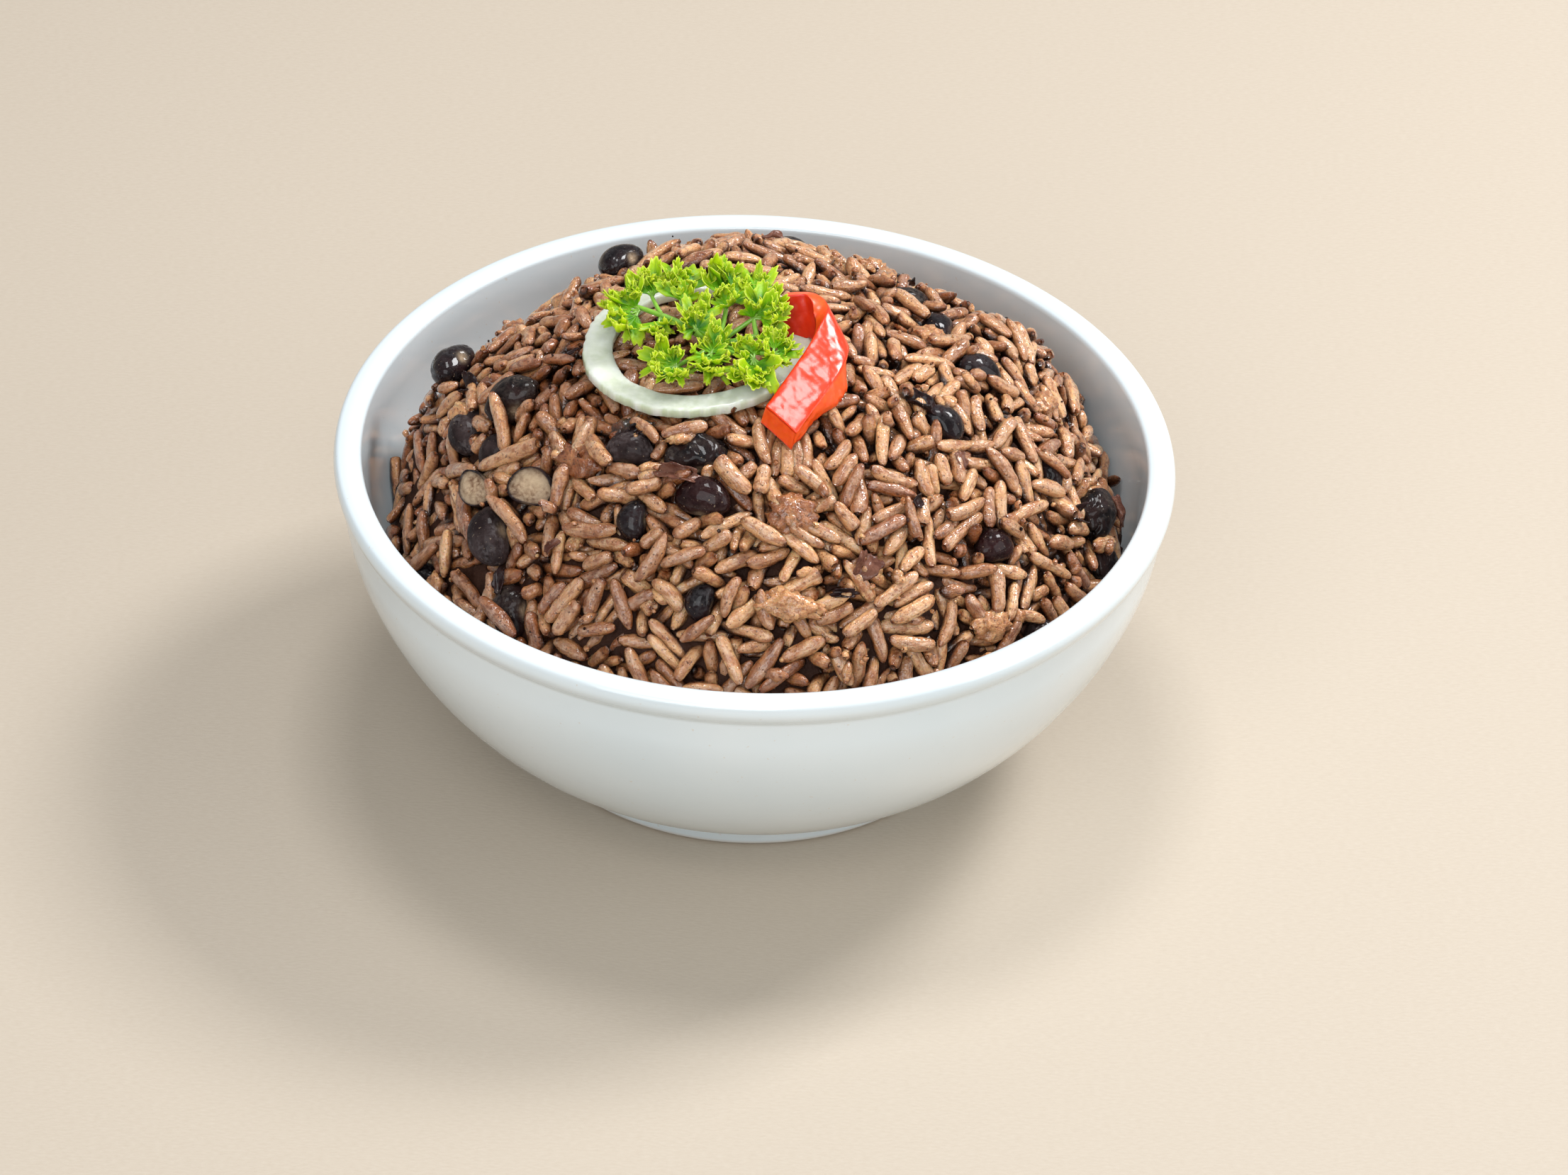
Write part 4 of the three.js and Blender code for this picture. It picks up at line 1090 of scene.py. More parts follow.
def bean_finish(name, dark, bloom, dust, roughness, coat):
    """Bean skin: near black, brownish in patches, with dried starch in specks and films."""
    skin, shader = new_finish(
        name, roughness, IOR=1.46, Specular_IOR_Level=0.06, Coat_Weight=coat, Coat_Roughness=0.07)
    colour = patched(skin, dark, bloom, 3.2, 4.0, 0.40, 0.66)
    film = figure(skin, "MULTIPLY", between(skin, mottle(skin, 5.0, 2.0), 0.44, 0.60),
                  between(skin, mottle(skin, 0.7, 3.0), 0.40, 0.66))
    colour = patched(skin, tint(skin, film, colour, dust), STARCH, 0.45, 2.0, 0.69, 0.75)
    inside_colour = patched(skin, (0.20, 0.110, 0.062), (0.52, 0.37, 0.24), 0.7, 4.0, 0.35, 0.65)
    inside_colour = patched(skin, inside_colour, (0.58, 0.43, 0.28), 5.0, 3.0, 0.4, 0.65)
    use(skin, tint(skin, noted(skin, "pale"), colour, inside_colour), shader, "Base Color")
    use(skin, between(skin, mottle(skin, 1.2, 3.0), 0.3, 0.7, roughness - 0.12, roughness + 0.22),
        shader, "Roughness")
    fold = figure(skin, "ABSOLUTE", figure(skin, "SUBTRACT", mottle(skin, 1.5, 3.0), 0.5))
    relief(skin, shader, figure(skin, "MULTIPLY_ADD", fold, 2.0, mottle(skin, 0.4, 3.0)), 0.14)
    return skin


bean_quads, bean_ends = ball_points(BEAN_ROWS, BEAN_SIDES)[1:]
for name, (kinds, dark, bloom, dust, roughness, coat) in BEAN_LOOKS.items():
    chosen = [i for i, bean in enumerate(BEANS) if bean[5] in kinds]
    meshes = [bean_mesh(bean_places[i], BEANS[i], 300 + i) for i in chosen]
    beans = mesh_piece(
        name, *joined([points for points, _ in meshes], bean_quads, bean_ends),
        bean_finish(name + "_skin", dark, bloom, dust, roughness, coat),
    )
    note(beans, "pale", np.concatenate([pale for _, pale in meshes]))
    dress(beans, "bean", *(f"bean_{i + 1:02d}" for i in chosen))

# ---- Bean skins ----
# Thin skins that have come off the beans: curled flakes, near black or reddish brown where
# light comes through, and dark crumbs of them among the grains.

# Each flake: place in plan, length, width, turn, lift, how much it curls.
BEAN_SKINS = {
    "bean_skins_dark": ((0.006, 0.003, 0.0035), (0.030, 0.012, 0.011), (
        (16.8, -49.5, 4.6, 2.4, 5, 1.0, 1.6), (29.5, -14.0, 7.4, 4.8, -10, 0.9, 1.5),
        (58.3, -13.4, 2.2, 5.4, 10, 1.2, 1.4), (-51.9, 3.6, 2.8, 6.6, 0, 1.1, 1.6),
        (-33.4, -2.0, 3.0, 1.3, 10, 0.9, 1.0), (29.3, -33.2, 2.0, 2.6, 30, 0.9, 1.0),
        (49.4, -41.2, 7.0, 3.6, 25, 0.6, 1.5), (26.0, 30.0, 5.5, 3.4, 60, 1.0, 1.3),
        (-20.6, -26.2, 4.6, 2.8, 20, 1.3, 1.4), (-43.6, -38.0, 5.2, 3.0, 55, 1.2, 1.2),
    )),
    "bean_skins_brown": ((0.090, 0.030, 0.020), (0.200, 0.085, 0.055), (
        (-12.9, -35.2, 8.2, 4.0, -15, 1.9, 1.5), (64.4, -4.0, 6.6, 3.8, -20, 3.0, 1.2),
        (20.6, -45.2, 5.0, 5.4, 80, 0.9, 1.0), (-34.8, -38.6, 3.6, 2.2, 35, 1.0, 1.2),
        (36.5, -22.0, 3.6, 2.4, 120, 0.9, 1.0), (2.0, 42.0, 5.0, 3.0, 20, 0.9, 1.2),
    )),
}
SKIN_THICK = 0.22
SKIN_ROWS, SKIN_COLUMNS = 15, 11
SKIN_CRUMB_COUNT = 110


def across_sheet(points):
    """Directions square to a sheet of points, at each of them."""
    normal = np.cross(np.gradient(points, axis=0), np.gradient(points, axis=1))
    return normal / (np.linalg.norm(normal, axis=-1, keepdims=True) + 1e-9)


def skin_flake(flake, seed):
    """Points of a curled and crumpled flake, upper face first, then lower."""
    x, y, long, wide, turn, lift, curl = flake
    middle, along, side, up = lie_on_heap(np.float64(x), np.float64(y), math.radians(turn), lift)
    u, v = np.meshgrid(np.linspace(-1, 1, SKIN_ROWS), np.linspace(-1, 1, SKIN_COLUMNS), indexing="ij")
    ragged = 1.0 + 0.16 * wavy(u * 3, v * 3, 0 * u, 2.2, seed)
    u, v = u * np.sqrt(1 - 0.42 * v ** 2) * ragged, v * np.sqrt(1 - 0.42 * u ** 2) * ragged
    bend = curl * v
    across = wide / 2 * np.sin(bend) / curl
    crumpled = 0.3 * wavy(u * long / 2, v * wide / 2, 0 * u, 2.4, seed + 1)
    lifted = 0.55 * wide * (1 - np.cos(bend)) / curl + crumpled - 0.08 * long * u ** 2
    points = middle + column(u * long / 2) * along + column(across) * side + column(lifted) * up
    half = across_sheet(points) * SKIN_THICK / 2
    return np.concatenate([(points + half).reshape(-1, 3), (points - half).reshape(-1, 3)])


def sheet_faces(rows, columns):
    """Quads of both faces of a thin sheet and of the edge that joins them."""
    size = rows * columns
    grid = np.arange(size).reshape(rows, columns)
    sheet = np.stack([grid[:-1, :-1], grid[1:, :-1], grid[1:, 1:], grid[:-1, 1:]], -1).reshape(-1, 4)
    loop = np.concatenate([grid[0, :-1], grid[:-1, -1], grid[-1, :0:-1], grid[:0:-1, 0]])
    following = np.roll(loop, -1)
    edge = np.stack([loop, following, following + size, loop + size], -1)
    return np.concatenate([sheet, sheet[:, ::-1] + size, edge])


for name, (dark, bloom, flakes) in BEAN_SKINS.items():
    shapes = [skin_flake(flake, 500 + number) for number, flake in enumerate(flakes)]
    points, faces = joined(shapes, sheet_faces(SKIN_ROWS, SKIN_COLUMNS), np.zeros((0, 3), int))
    skins = mesh_piece(name, points, faces, bean_finish(name, dark, bloom, bloom, 0.30, 0.4))
    dress(skins, "bean", "rice")
ball, crumb_quads, crumb_ends = ball_points(4, 6)
crumb_shapes = scattered(SKIN_CRUMB_COUNT, ball, crumb_dice, (0.4, 1.1), (0.3, 1.0))
skin_crumbs = mesh_piece(
    "bean_skin_crumbs", *joined(crumb_shapes, crumb_quads, crumb_ends),
    bean_finish("bean_crumb", (0.012, 0.006, 0.006), (0.07, 0.028, 0.020), (0.10, 0.06, 0.05), 0.35, 0.2),
)
dress(skin_crumbs, "bean", "rice")

# ---- Onion ring ----
# One ring from a raw white onion, cut across, laid flat on the rice. It is moist and
# translucent, with cloudy white patches, faint layers, and a slightly torn outer edge.

ONION_EDGE_RADIUS = 20.0
RING_STEPS, RING_SIDES = 260, 28
ring_turn = all_round(RING_STEPS)
ring_angle, section_angle = np.meshgrid(ring_turn, all_round(RING_SIDES), indexing="ij")
centre_x = RING_CENTRE[0] + RING_RADIUS * np.cos(ring_turn)
centre_y = RING_CENTRE[1] + RING_RADIUS * np.sin(ring_turn)
ring_height = heap_height(centre_x, centre_y) - GRAIN_TOPS + RING_LIFT + RING_THICK / 2
section_u = np.sign(np.cos(section_angle)) * np.abs(np.cos(section_angle)) ** 0.38
section_v = np.sign(np.sin(section_angle)) * np.abs(np.sin(section_angle)) ** 0.42
edge_x, edge_y = np.cos(ring_angle), np.sin(ring_angle)
round_rim = ONION_EDGE_RADIUS * edge_x, ONION_EDGE_RADIUS * edge_y, 0 * edge_x
torn = wavy(*round_rim, 1.6, 31) * np.clip(-section_u, 0, 1) ** 2
nicks = wavy(*round_rim, 0.8, 32) * np.abs(section_u) ** 3
across = section_u * RING_WIDTH / 2 * (1.0 - 0.16 * (section_u > 0)) * (0.97 - 0.14 * edge_x)
across = across * (1.0 + 0.04 * wavy(*round_rim, 16, 33))
across = across - 0.10 * torn + 0.05 * nicks
dip = 0.22 * (section_u ** 2 - 0.4) * (section_v > 0)
over = section_v * RING_THICK / 2 * (1.0 - 0.22 * np.abs(section_u) ** 3) + dip
over = over + 0.12 * wavy(*round_rim, 9, 34) + 0.45 * (section_v > 0)
ring_radius = RING_RADIUS - across
ring_points = np.stack([
    RING_CENTRE[0] + ring_radius * edge_x,
    RING_CENTRE[1] + ring_radius * edge_y,
    ring_height[:, None] + over,
], -1)
ring_faces = turned_faces(RING_STEPS + 1, RING_SIDES) % (RING_STEPS * RING_SIDES)

onion, onion_shader = new_finish(
    "raw_onion", 0.28, IOR=1.36, Subsurface_Weight=0.6, Subsurface_Scale=0.004,
    Transmission_Weight=0.10, Coat_Weight=0.5, Coat_Roughness=0.10,
)
onion_shader.inputs["Subsurface Radius"].default_value = (1.0, 1.0, 0.75)
cut_face = patched(onion, (0.68, 0.73, 0.58), (0.88, 0.92, 0.80), 5.5, 3.0, 0.45, 0.66)
cut_face = patched(onion, cut_face, (0.80, 0.84, 0.71), 1.3, 2.0, 0.4, 0.7)
outer_skin = patched(onion, (0.64, 0.72, 0.52), (0.90, 0.95, 0.80), 2.2, 3.0, 0.42, 0.64,
                     stretch=(1.0, 1.0, 0.2))
use(onion, tint(onion, noted(onion, "outer"), cut_face, outer_skin), onion_shader, "Base Color")
relief(onion, onion_shader, mottle(onion, 1.1, 4.0), 0.08)
onion_ring = mesh_piece("onion_ring_slice", ring_points.reshape(-1, 3), [ring_faces], onion)
note(onion_ring, "outer", (np.clip((-section_u - 0.85) / 0.12, 0, 1) * (section_v < 0.96)).ravel())
dress(onion_ring, "onion", "onion_ring")

# ---- Red pepper strip ----
# A strip of raw red pepper, cut with a knife and curled over on itself. Its skin is waxy and
# glossy, its thick flesh is moist and grainy where cut, and its inside face is smooth.

PEPPER_PATH = np.array([
    (4.6, -27.6, 84.3), (9.3, -19.6, 87.5), (12.2, -13.2, 89.3), (12.9, -6.8, 90.4),
    (9.2, -1.9, 90.1), (4.2, -0.9, 89.4),
])
PEPPER_ACROSS = np.array([
    (-0.71, 0.66, 0.24), (-0.71, 0.66, 0.24), (-0.69, 0.66, 0.30), (-0.50, 0.62, 0.60),
    (-0.08, 0.45, 0.88), (0.10, 0.30, 0.95),
])
PEPPER_WIDTH, PEPPER_THICK, PEPPER_LENGTH = 7.9, 3.0, 36.0
PEPPER_SKIN_HALF = 3.9
PEPPER_STEPS, PEPPER_SIDE_STEPS, PEPPER_EDGE_STEPS = 110, 26, 10
# Each dent in the skin: place along the strip, place across it, its size and its depth.
PEPPER_DENTS = (
    (0.33, -0.15, 1.5, 0.22), (0.30, 0.30, 0.9, 0.12), (0.10, -0.45, 1.0, 0.12), (0.05, 0.35, 0.5, 0.08),
)


def smooth_path(points, count):
    """Evenly spaced points on a smooth curve through the given ones."""
    padded = np.concatenate([[2 * points[0] - points[1]], points, [2 * points[-1] - points[-2]]])
    knots = [0.0]
    for before, after in zip(padded[:-1], padded[1:]):
        knots.append(knots[-1] + np.linalg.norm(after - before) ** 0.5)
    fine = []
    for i in range(1, len(padded) - 2):
        t0, t1, t2, t3 = knots[i - 1:i + 3]
        p0, p1, p2, p3 = padded[i - 1:i + 3]
        for t in np.linspace(t1, t2, 40, endpoint=i == len(padded) - 3):
            a1 = (t1 - t) / (t1 - t0) * p0 + (t - t0) / (t1 - t0) * p1
            a2 = (t2 - t) / (t2 - t1) * p1 + (t - t1) / (t2 - t1) * p2
            a3 = (t3 - t) / (t3 - t2) * p2 + (t - t2) / (t3 - t2) * p3
            b1 = (t2 - t) / (t2 - t0) * a1 + (t - t0) / (t2 - t0) * a2
            b2 = (t3 - t) / (t3 - t1) * a2 + (t - t1) / (t3 - t1) * a3
            fine.append((t2 - t) / (t2 - t1) * b1 + (t - t1) / (t2 - t1) * b2)
    fine = np.array(fine)
    walked_along = np.concatenate([[0.0], np.cumsum(np.linalg.norm(np.diff(fine, axis=0), axis=1))])
    even = np.linspace(0.0, walked_along[-1], count)
    return np.stack([np.interp(even, walked_along, values) for values in fine.T], -1)


strip = smooth_path(PEPPER_PATH, PEPPER_STEPS)
# The directions across follow the same curve, too small to count in its length.
strip_across = smooth_path(np.concatenate([PEPPER_PATH, PEPPER_ACROSS * 0.001], 1), PEPPER_STEPS)
strip_across = unit(strip_across[:, 3:])
strip_along = unit(np.gradient(strip, axis=0))
strip_out = unit(np.cross(strip_along, strip_across))
skin_u = np.linspace(1.0, -1.0, PEPPER_SIDE_STEPS)
edge_v = np.linspace(1.0, -1.0, PEPPER_EDGE_STEPS)[1:-1]
section = np.concatenate([
    np.stack([skin_u, np.ones(PEPPER_SIDE_STEPS)], -1),
    np.stack([-np.ones(len(edge_v)), edge_v], -1),
    np.stack([skin_u[::-1], -np.ones(PEPPER_SIDE_STEPS)], -1),
    np.stack([np.ones(len(edge_v)), edge_v[::-1]], -1),
])
u, v = section.T
length_share = np.linspace(0.0, 1.0, PEPPER_STEPS)[:, None]
crowned = np.where(v > 0.999, 0.14 * (1 - u ** 2) - 0.10 * np.abs(u) ** 8, 0.0)
hollowed = np.where(v < -0.999, 0.16 * (1 - u ** 2), 0.0)
width_u = u * PEPPER_WIDTH / 2 + 0.0 * length_share
width_u = np.where(u < -0.999, width_u + 0.10 * (v - 0.4) * (1 - length_share), width_u)
spots = strip[:, None] + section[None, :, :1] * PEPPER_SKIN_HALF * strip_across[:, None]
spots = spots + section[None, :, 1:] * PEPPER_THICK / 2 * strip_out[:, None]
ripple = wavy(spots[..., 0], spots[..., 1], spots[..., 2], 1.5, 51)
rough_edge = np.where((u < -0.6) & (v < 0.7), 0.20, 0.0) * ripple
over = v * PEPPER_THICK / 2 + crowned + hollowed
over = over * (1.0 - 0.22 * np.clip(length_share - 0.7, 0.0, 1.0) / 0.3)
over = over + np.where(v > 0.999, 0.03, 0.05) * ripple
for dent_share, dent_u, dent_size, dent_depth in PEPPER_DENTS:
    far = (length_share - dent_share) * PEPPER_LENGTH / dent_size
    far = far ** 2 + ((u - dent_u) * PEPPER_SKIN_HALF / dent_size) ** 2
    over = over - dent_depth * np.exp(-far) * (v > 0.999)
torn_flesh = 2.3 * np.exp(-((length_share - 0.40) / 0.17) ** 2) * np.clip(-u - 0.2, 0.0, 0.8) / 0.8
torn_flesh = torn_flesh * np.clip((1.0 - v) / 1.2, 0.0, 1.0) * (1.0 + 0.22 * ripple)
width_u = width_u - torn_flesh
over = over - 0.45 * torn_flesh
oblique = 0.9 * np.clip(1.0 - length_share / 0.12, 0.0, 1.0) * (1 - v)
pepper_points = (
    strip[:, None] + column(width_u + rough_edge) * strip_across[:, None]
    + column(over) * strip_out[:, None] - column(oblique) * strip_along[:, None]
).reshape(-1, 3)
section_size = len(section)
pepper_faces = turned_faces(PEPPER_STEPS, section_size)
pepper_skin_share = np.tile(np.where(v > 0.999, 1.0, 0.0), PEPPER_STEPS)
pepper_inner_share = np.tile(np.where(v < -0.999, 1.0, 0.0), PEPPER_STEPS)


def end_grid(first, flip):
    """Points and faces that close one end, from its ring of section points."""
    top = first + np.arange(PEPPER_SIDE_STEPS)
    right = first + PEPPER_SIDE_STEPS + np.arange(len(edge_v))
    bottom = (first + PEPPER_SIDE_STEPS + len(edge_v) + np.arange(PEPPER_SIDE_STEPS))[::-1]
    left = (first + 2 * PEPPER_SIDE_STEPS + len(edge_v) + np.arange(len(edge_v)))[::-1]
    grid = np.zeros((PEPPER_EDGE_STEPS, PEPPER_SIDE_STEPS), int)
    grid[0], grid[-1], grid[1:-1, -1], grid[1:-1, 0] = top, bottom, right, left
    extra = []
    for i in range(1, PEPPER_EDGE_STEPS - 1):
        share = i / (PEPPER_EDGE_STEPS - 1)
        for j in range(1, PEPPER_SIDE_STEPS - 1):
            grid[i, j] = len(pepper_points) + len(extra)
            extra.append(pepper_points[top[j]] * (1 - share) + pepper_points[bottom[j]] * share)
    quads = np.stack([grid[:-1, :-1], grid[:-1, 1:], grid[1:, 1:], grid[1:, :-1]], -1).reshape(-1, 4)
    return np.array(extra), quads[:, ::-1] if flip else quads


near_extra, near_quads = end_grid(0, False)
near_extra = near_extra + 0.10 * wavy(*near_extra.T, 1.1, 61)[:, None] * strip_along[0]
pepper_points = np.concatenate([pepper_points, near_extra])
far_extra, far_quads = end_grid((PEPPER_STEPS - 1) * section_size, True)
pepper_points = np.concatenate([pepper_points, far_extra])
cut_ends = np.zeros(len(near_extra) + len(far_extra))

pepper, pepper_shader = new_finish(
    "red_pepper", 0.34, IOR=1.45, Subsurface_Weight=0.16, Subsurface_Scale=0.0022,
    Coat_Weight=0.3, Coat_Roughness=0.16,
)
pepper_shader.inputs["Subsurface Radius"].default_value = (1.0, 0.16, 0.05)
flesh = tint(pepper, mottle(pepper, 0.8, 3.0), (0.84, 0.050, 0.003), (0.94, 0.12, 0.006))
inner_face = tint(pepper, mottle(pepper, 3.0), (0.66, 0.012, 0.001), (0.78, 0.026, 0.002))
skin_colour = tint(pepper, mottle(pepper, 1.6, 4.0), (0.74, 0.026, 0.002), (0.84, 0.048, 0.005))
pepper_colour = tint(pepper, noted(pepper, "inner"), flesh, inner_face)
use(pepper, tint(pepper, noted(pepper, "skin"), pepper_colour, skin_colour), pepper_shader, "Base Color")
use(pepper, between(pepper, noted(pepper, "skin"), 0.0, 1.0, 0.38, 0.27), pepper_shader, "Roughness")
relief(pepper, pepper_shader, mottle(pepper, 1.1, 4.0), 0.06)
pepper_piece = mesh_piece(
    "red_pepper_strip", pepper_points, [pepper_faces, near_quads, far_quads], pepper
)
note(pepper_piece, "skin", np.concatenate([pepper_skin_share, cut_ends]))
note(pepper_piece, "inner", np.concatenate([pepper_inner_share, cut_ends]))
dress(pepper_piece, "pepper", "pepper_strip")

# ---- Parsley sprig ----
# A sprig of fresh curly parsley on top. Thin stems fork to frilled leaflets with toothed
# edges that curl over; the edges and tips are paler and yellower than the blades.

CROWN = np.array([-7.5, -8.5, 87.4])
# Each fork of the sprig, and the tips of the leaflets that grow from it.
FORKS = [
    ((-21.9, -1.6, 89.4), [(-27.6, 5.8, 90.2), (-29.6, -0.5, 88.9), (-29.2, -5.9, 88.4),
     (-26.9, -10.2, 88.0), (-24.0, -10.0, 88.2), (-25.0, 2.5, 90.6)]),
    ((-17.8, -3.6, 89.6), [(-19.7, -10.6, 88.2), (-17.4, -8.1, 88.6)]),
    ((-19.7, 1.3, 90.6), [(-21.9, 8.8, 92.0), (-24.5, 5.3, 91.6), (-19.2, 10.0, 92.2),
     (-17.2, 6.2, 92.0)]),
    ((-14.1, -1.8, 91.0), [(-16.6, 6.0, 92.4), (-15.4, 11.1, 93.2), (-12.4, 9.7, 93.0),
     (-13.2, 3.2, 93.4)]),
    ((-11.4, -8.7, 90.6), [(-12.0, 0.3, 93.2), (-8.9, -4.3, 93.0), (-14.5, -8.3, 90.2),
     (-13.8, -4.7, 92.6), (-8.8, -8.2, 92.2)]),
    ((-6.2, -2.1, 91.2), [(-9.9, 8.6, 93.4), (-7.3, 10.5, 93.6), (-3.9, 10.1, 93.6),
     (-7.3, 0.3, 94.6), (-4.2, -4.4, 94.2), (-9.8, -0.7, 93.6), (-2.3, 3.8, 94.0)]),
    ((-1.2, -5.5, 91.4), [(-0.6, 8.5, 94.0), (2.7, 3.5, 94.0), (6.2, -3.5, 93.2),
     (6.0, -6.6, 92.4), (1.9, -2.9, 94.4), (-2.0, -5.3, 93.6)]),
    ((-14.5, -17.7, 88.8), [(-21.7, -13.5, 88.6), (-20.9, -18.3, 88.0), (-18.3, -21.7, 87.9),
     (-14.4, -22.5, 87.9), (-17.5, -15.1, 90.4), (-14.7, -14.2, 91.2), (-11.8, -20.9, 88.6)]),
    ((-8.5, -14.6, 89.6), [(-10.1, -11.3, 91.2), (-6.5, -11.3, 91.6), (-12.0, -18.5, 90.4),
     (-8.9, -23.0, 88.2), (-6.2, -17.9, 89.4), (-7.9, -20.4, 90.2), (-5.1, -8.5, 92.6)]),
    ((-0.8, -15.6, 89.6), [(-3.9, -11.4, 91.6), (-0.5, -11.2, 91.8), (-3.6, -23.5, 88.0),
     (-0.5, -23.9, 88.0), (2.0, -24.6, 88.2), (-4.7, -17.8, 89.4), (4.2, -19.9, 89.6)]),
    ((2.7, -14.6, 90.2), [(3.0, -8.6, 92.6), (7.2, -11.0, 91.8), (7.6, -15.0, 91.2),
     (4.6, -18.5, 90.0), (0.9, -15.5, 91.6)]),
]
# Each length of stalk: from, to, and its radius at both ends. The first forks grow from these,
# and the others straight from the crown.
STALKS = [
    (CROWN, (-11.6, -7.7, 89.4), 0.75, 0.62),
    ((-11.6, -7.7, 89.4), (-17.6, -3.5, 89.8), 0.62, 0.52),
    ((-17.6, -3.5, 89.8), (-22.6, -0.2, 89.4), 0.48, 0.4),
    ((-17.6, -3.5, 89.8), (-19.7, 1.3, 90.6), 0.42, 0.36),
    (CROWN, (-0.5, -8.3, 89.6), 0.6, 0.5),
    ((-0.5, -8.3, 89.6), (-1.2, -5.5, 91.4), 0.5, 0.4),
]
FORKS_ON_STALKS = 3
LEAF_THICK = 0.20
leaf_dice = np.random.default_rng(77)


def blade(root, ahead, leaf_up, length, spread, lobes, rings, rays, bend):
    """One lobed and toothed blade: points on both faces, then edge and curl shares."""
    side = np.cross(leaf_up, ahead)
    share = np.linspace(0.03, 1.0, rings)[:, None]
    ray = np.linspace(-1.0, 1.0, rays)[None, :]
    place = np.clip((ray * 0.5 + 0.5) * lobes, 0.0, lobes - 1e-6)
    lobe = place.astype(int)
    within = (place - lobe) * 2.0 - 1.0
    tooth = np.abs(np.mod(place * 3.0, 1.0) * 2.0 - 1.0)
    sizes, bends = leaf_dice.uniform(0.82, 1.12, lobes), leaf_dice.uniform(*bend, lobes)
    outline = (0.60 + 0.40 * np.cos(ray * 1.35)) * (1.0 - 0.36 * np.abs(within) ** 2.6)
    outline = outline * (1.0 - 0.15 * tooth ** 1.4) * sizes[lobe]
    lobe_middle = (lobe + 0.5) / lobes * 2.0 - 1.0
    angle = spread * (ray * (0.5 + 0.5 * share) + (lobe_middle - ray) * 0.22 * share ** 2)
    reach = share * outline * length
    beyond = np.clip(share - 0.48, 0.0, 1.0) * outline * length
    curl = bends[lobe] * beyond / (0.52 * length)
    reach = reach - beyond * (1.0 - np.cos(curl))
    grooved = 0.09 * length * share * (np.abs(within) - 0.5) * leaf_dice.choice((-1.0, 1.0, 1.0))
    cupped = leaf_dice.uniform(-0.22, 0.22) * length * ray ** 2 * share ** 2
    wave = 0.05 * length * share ** 2 * np.sin(4.0 * ray + leaf_dice.uniform(0, 6.28))
    lift = beyond * np.sin(curl) + grooved + cupped + wave
    points = (
        root + column(reach * np.cos(angle)) * ahead
        + column(reach * np.sin(angle)) * side + column(lift) * leaf_up
    )
    half = across_sheet(points) * column(LEAF_THICK * (1.0 - 0.6 * share)) / 2
    return points + half, points - half, share + 0 * ray, np.abs(curl) + 0 * share


leaf_points, leaf_faces, leaf_edges, leaf_curls = [], [], [], []
world_up = np.array([0.0, 0.0, 1.0])


def grow_blade(root, ahead, leaf_up, length, spread, lobes, rings, rays, bend, paler):
    """Adds one blade to the sprig, and returns the points of its upper face."""
    ahead = ahead / np.linalg.norm(ahead)
    leaf_up = leaf_up - ahead * (leaf_up @ ahead)
    leaf_up = leaf_up / np.linalg.norm(leaf_up)
    top, under, edge, curl = blade(root, ahead, leaf_up, length, spread, lobes, rings, rays, bend)
    leaf_faces.append(sheet_faces(rings, rays) + sum(len(points) for points in leaf_points))
    leaf_points.extend([top.reshape(-1, 3), under.reshape(-1, 3)])
    leaf_edges.extend([edge.ravel()] * 2)
    leaf_curls.extend([np.clip(curl.ravel() / 1.1 + paler, 0.0, 1.0)] * 2)
    return top


stem_paths = [(np.array(start), np.array(end), thick, thin) for start, end, thick, thin in STALKS]
for number, (fork, tips) in enumerate(FORKS):
    fork = np.array(fork)
    if number >= FORKS_ON_STALKS:
        stem_paths.append((CROWN, fork, 0.5, 0.38))
    for tip in tips:
        span = np.array(tip) - fork
        far = np.linalg.norm(span)
        length = float(np.clip(0.86 * far, 4.2, 8.0))
        root = fork + span * max(1.0 - length / far, 0.04)
        leaf_up = world_up + np.array([0.0, -0.35, 0.0]) + leaf_dice.normal(0, 0.30, 3)
        spread = math.radians(leaf_dice.uniform(58, 82))
        stem_paths.append((fork, root + span / far * 0.4, 0.34, 0.2))
        top = grow_blade(root, span, leaf_up, length, spread, leaf_dice.integers(3, 6), 9, 42,
                         (-0.5, 1.2), 0.0)
        for _ in range(3):
            ring, ray = leaf_dice.integers(4, 7), leaf_dice.integers(6, 36)
            out = top[ring + 1, ray] - top[ring, ray]
            out = out / np.linalg.norm(out)
            sideways = np.cross(world_up, out)
            rise = leaf_dice.uniform(0.3, 1.3)
            ahead = out * math.cos(rise) + world_up * math.sin(rise) + sideways * leaf_dice.normal(0, 0.3)
            grow_blade(top[ring, ray], ahead, np.cross(ahead, sideways) + leaf_dice.normal(0, 0.2, 3),
                       leaf_dice.uniform(1.7, 2.7), math.radians(leaf_dice.uniform(45, 70)), 3, 5, 19,
                       (0.0, 1.3), leaf_dice.uniform(0.25, 0.7))

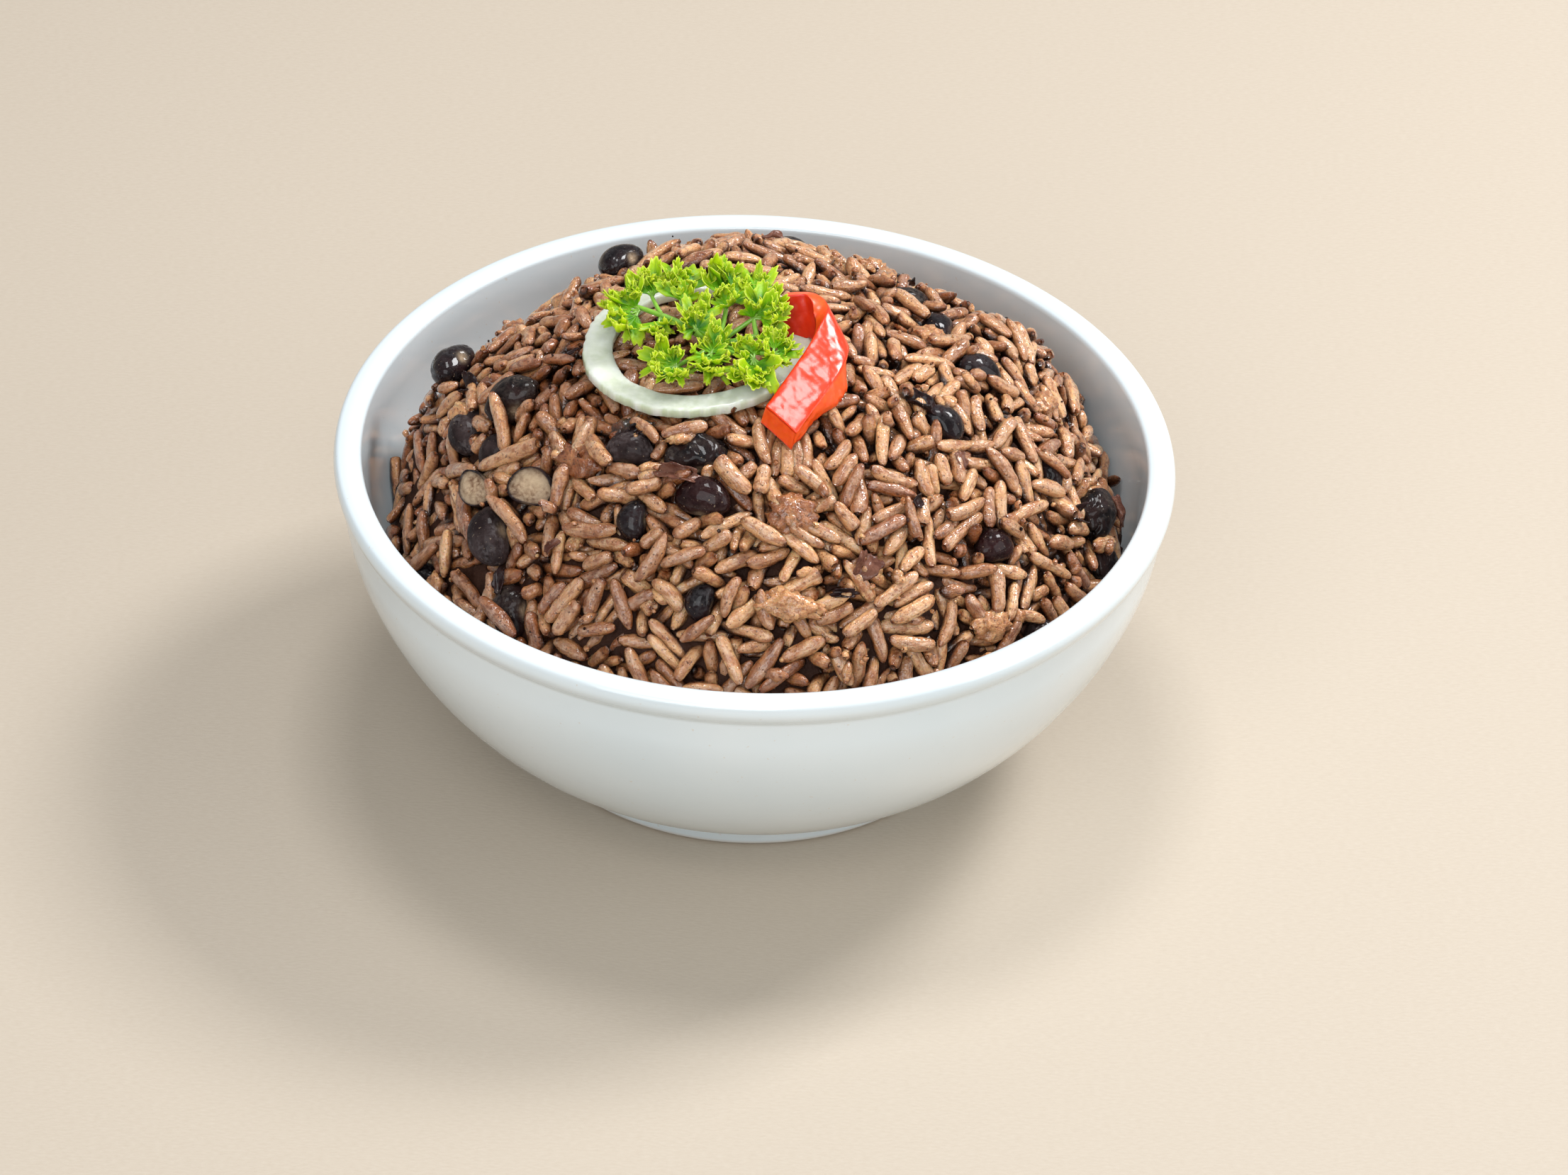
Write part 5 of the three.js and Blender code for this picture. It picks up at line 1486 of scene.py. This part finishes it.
parsley, parsley_shader = new_finish(
    "parsley_leaf", 0.42, IOR=1.4, Subsurface_Weight=0.3, Subsurface_Scale=0.0012,
    Specular_IOR_Level=0.35,
)
parsley_shader.inputs["Subsurface Radius"].default_value = (0.6, 1.0, 0.1)
leaf_colour = patched(parsley, (0.030, 0.165, 0.003), (0.17, 0.42, 0.003), 3.0, 3.0, 0.35, 0.65)
pale_edge = between(parsley, noted(parsley, "edge"), 0.55, 1.0, 0.0, 0.55)
leaf_colour = tint(parsley, pale_edge, leaf_colour, (0.48, 0.66, 0.008))
leaf_colour = tint(parsley, noted(parsley, "curl"), leaf_colour, (0.50, 0.66, 0.010))
tips = between(parsley, noted(parsley, "edge"), 0.95, 1.0, 0.0, 0.7)
use(parsley, tint(parsley, tips, leaf_colour, (0.66, 0.72, 0.10)), parsley_shader, "Base Color")
relief(parsley, parsley_shader, mottle(parsley, 0.6, 3.0), 0.08)
leaves = mesh_piece(
    "parsley_leaflets", np.concatenate(leaf_points), [np.concatenate(leaf_faces)], parsley,
)
note(leaves, "edge", np.concatenate(leaf_edges))
note(leaves, "curl", np.concatenate(leaf_curls))

stem_points, stem_faces = [], []
STEM_SIDES, STEM_ROWS = 12, 9
for start, end, thick_start, thick_end in stem_paths:
    span = end - start
    along = span / np.linalg.norm(span)
    side = np.cross(along, world_up)
    side /= np.linalg.norm(side)
    over_side = np.cross(side, along)
    bow = leaf_dice.normal(0.0, 0.05) * np.linalg.norm(span)
    count = sum(len(points) for points in stem_points)
    for share in np.linspace(0.0, 1.0, STEM_ROWS):
        centre = start + span * share + side * bow * math.sin(math.pi * share)
        thick = thick_start + (thick_end - thick_start) * share
        turn = all_round(STEM_SIDES)
        ridged = thick * (1.0 + 0.10 * np.cos(5 * turn))
        stem_points.append(
            centre + column(np.cos(turn) * ridged) * side + column(np.sin(turn) * ridged) * over_side)
    stem_faces.append(turned_faces(STEM_ROWS, STEM_SIDES) + count)
stalk, stalk_shader = new_finish(
    "parsley_stalk", 0.33, IOR=1.42, Subsurface_Weight=0.35, Subsurface_Scale=0.0015, Coat_Weight=0.3,
)
stalk_shader.inputs["Subsurface Radius"].default_value = (0.6, 1.0, 0.2)
use(stalk, tint(stalk, mottle(stalk, 2.0), (0.14, 0.36, 0.025), (0.30, 0.55, 0.07)),
    stalk_shader, "Base Color")
relief(stalk, stalk_shader, mottle(stalk, 0.7, 2.0), 0.06)
stems = mesh_piece("parsley_stems", np.concatenate(stem_points), stem_faces, stalk)
for piece in (leaves, stems):
    dress(piece, "parsley", "parsley")
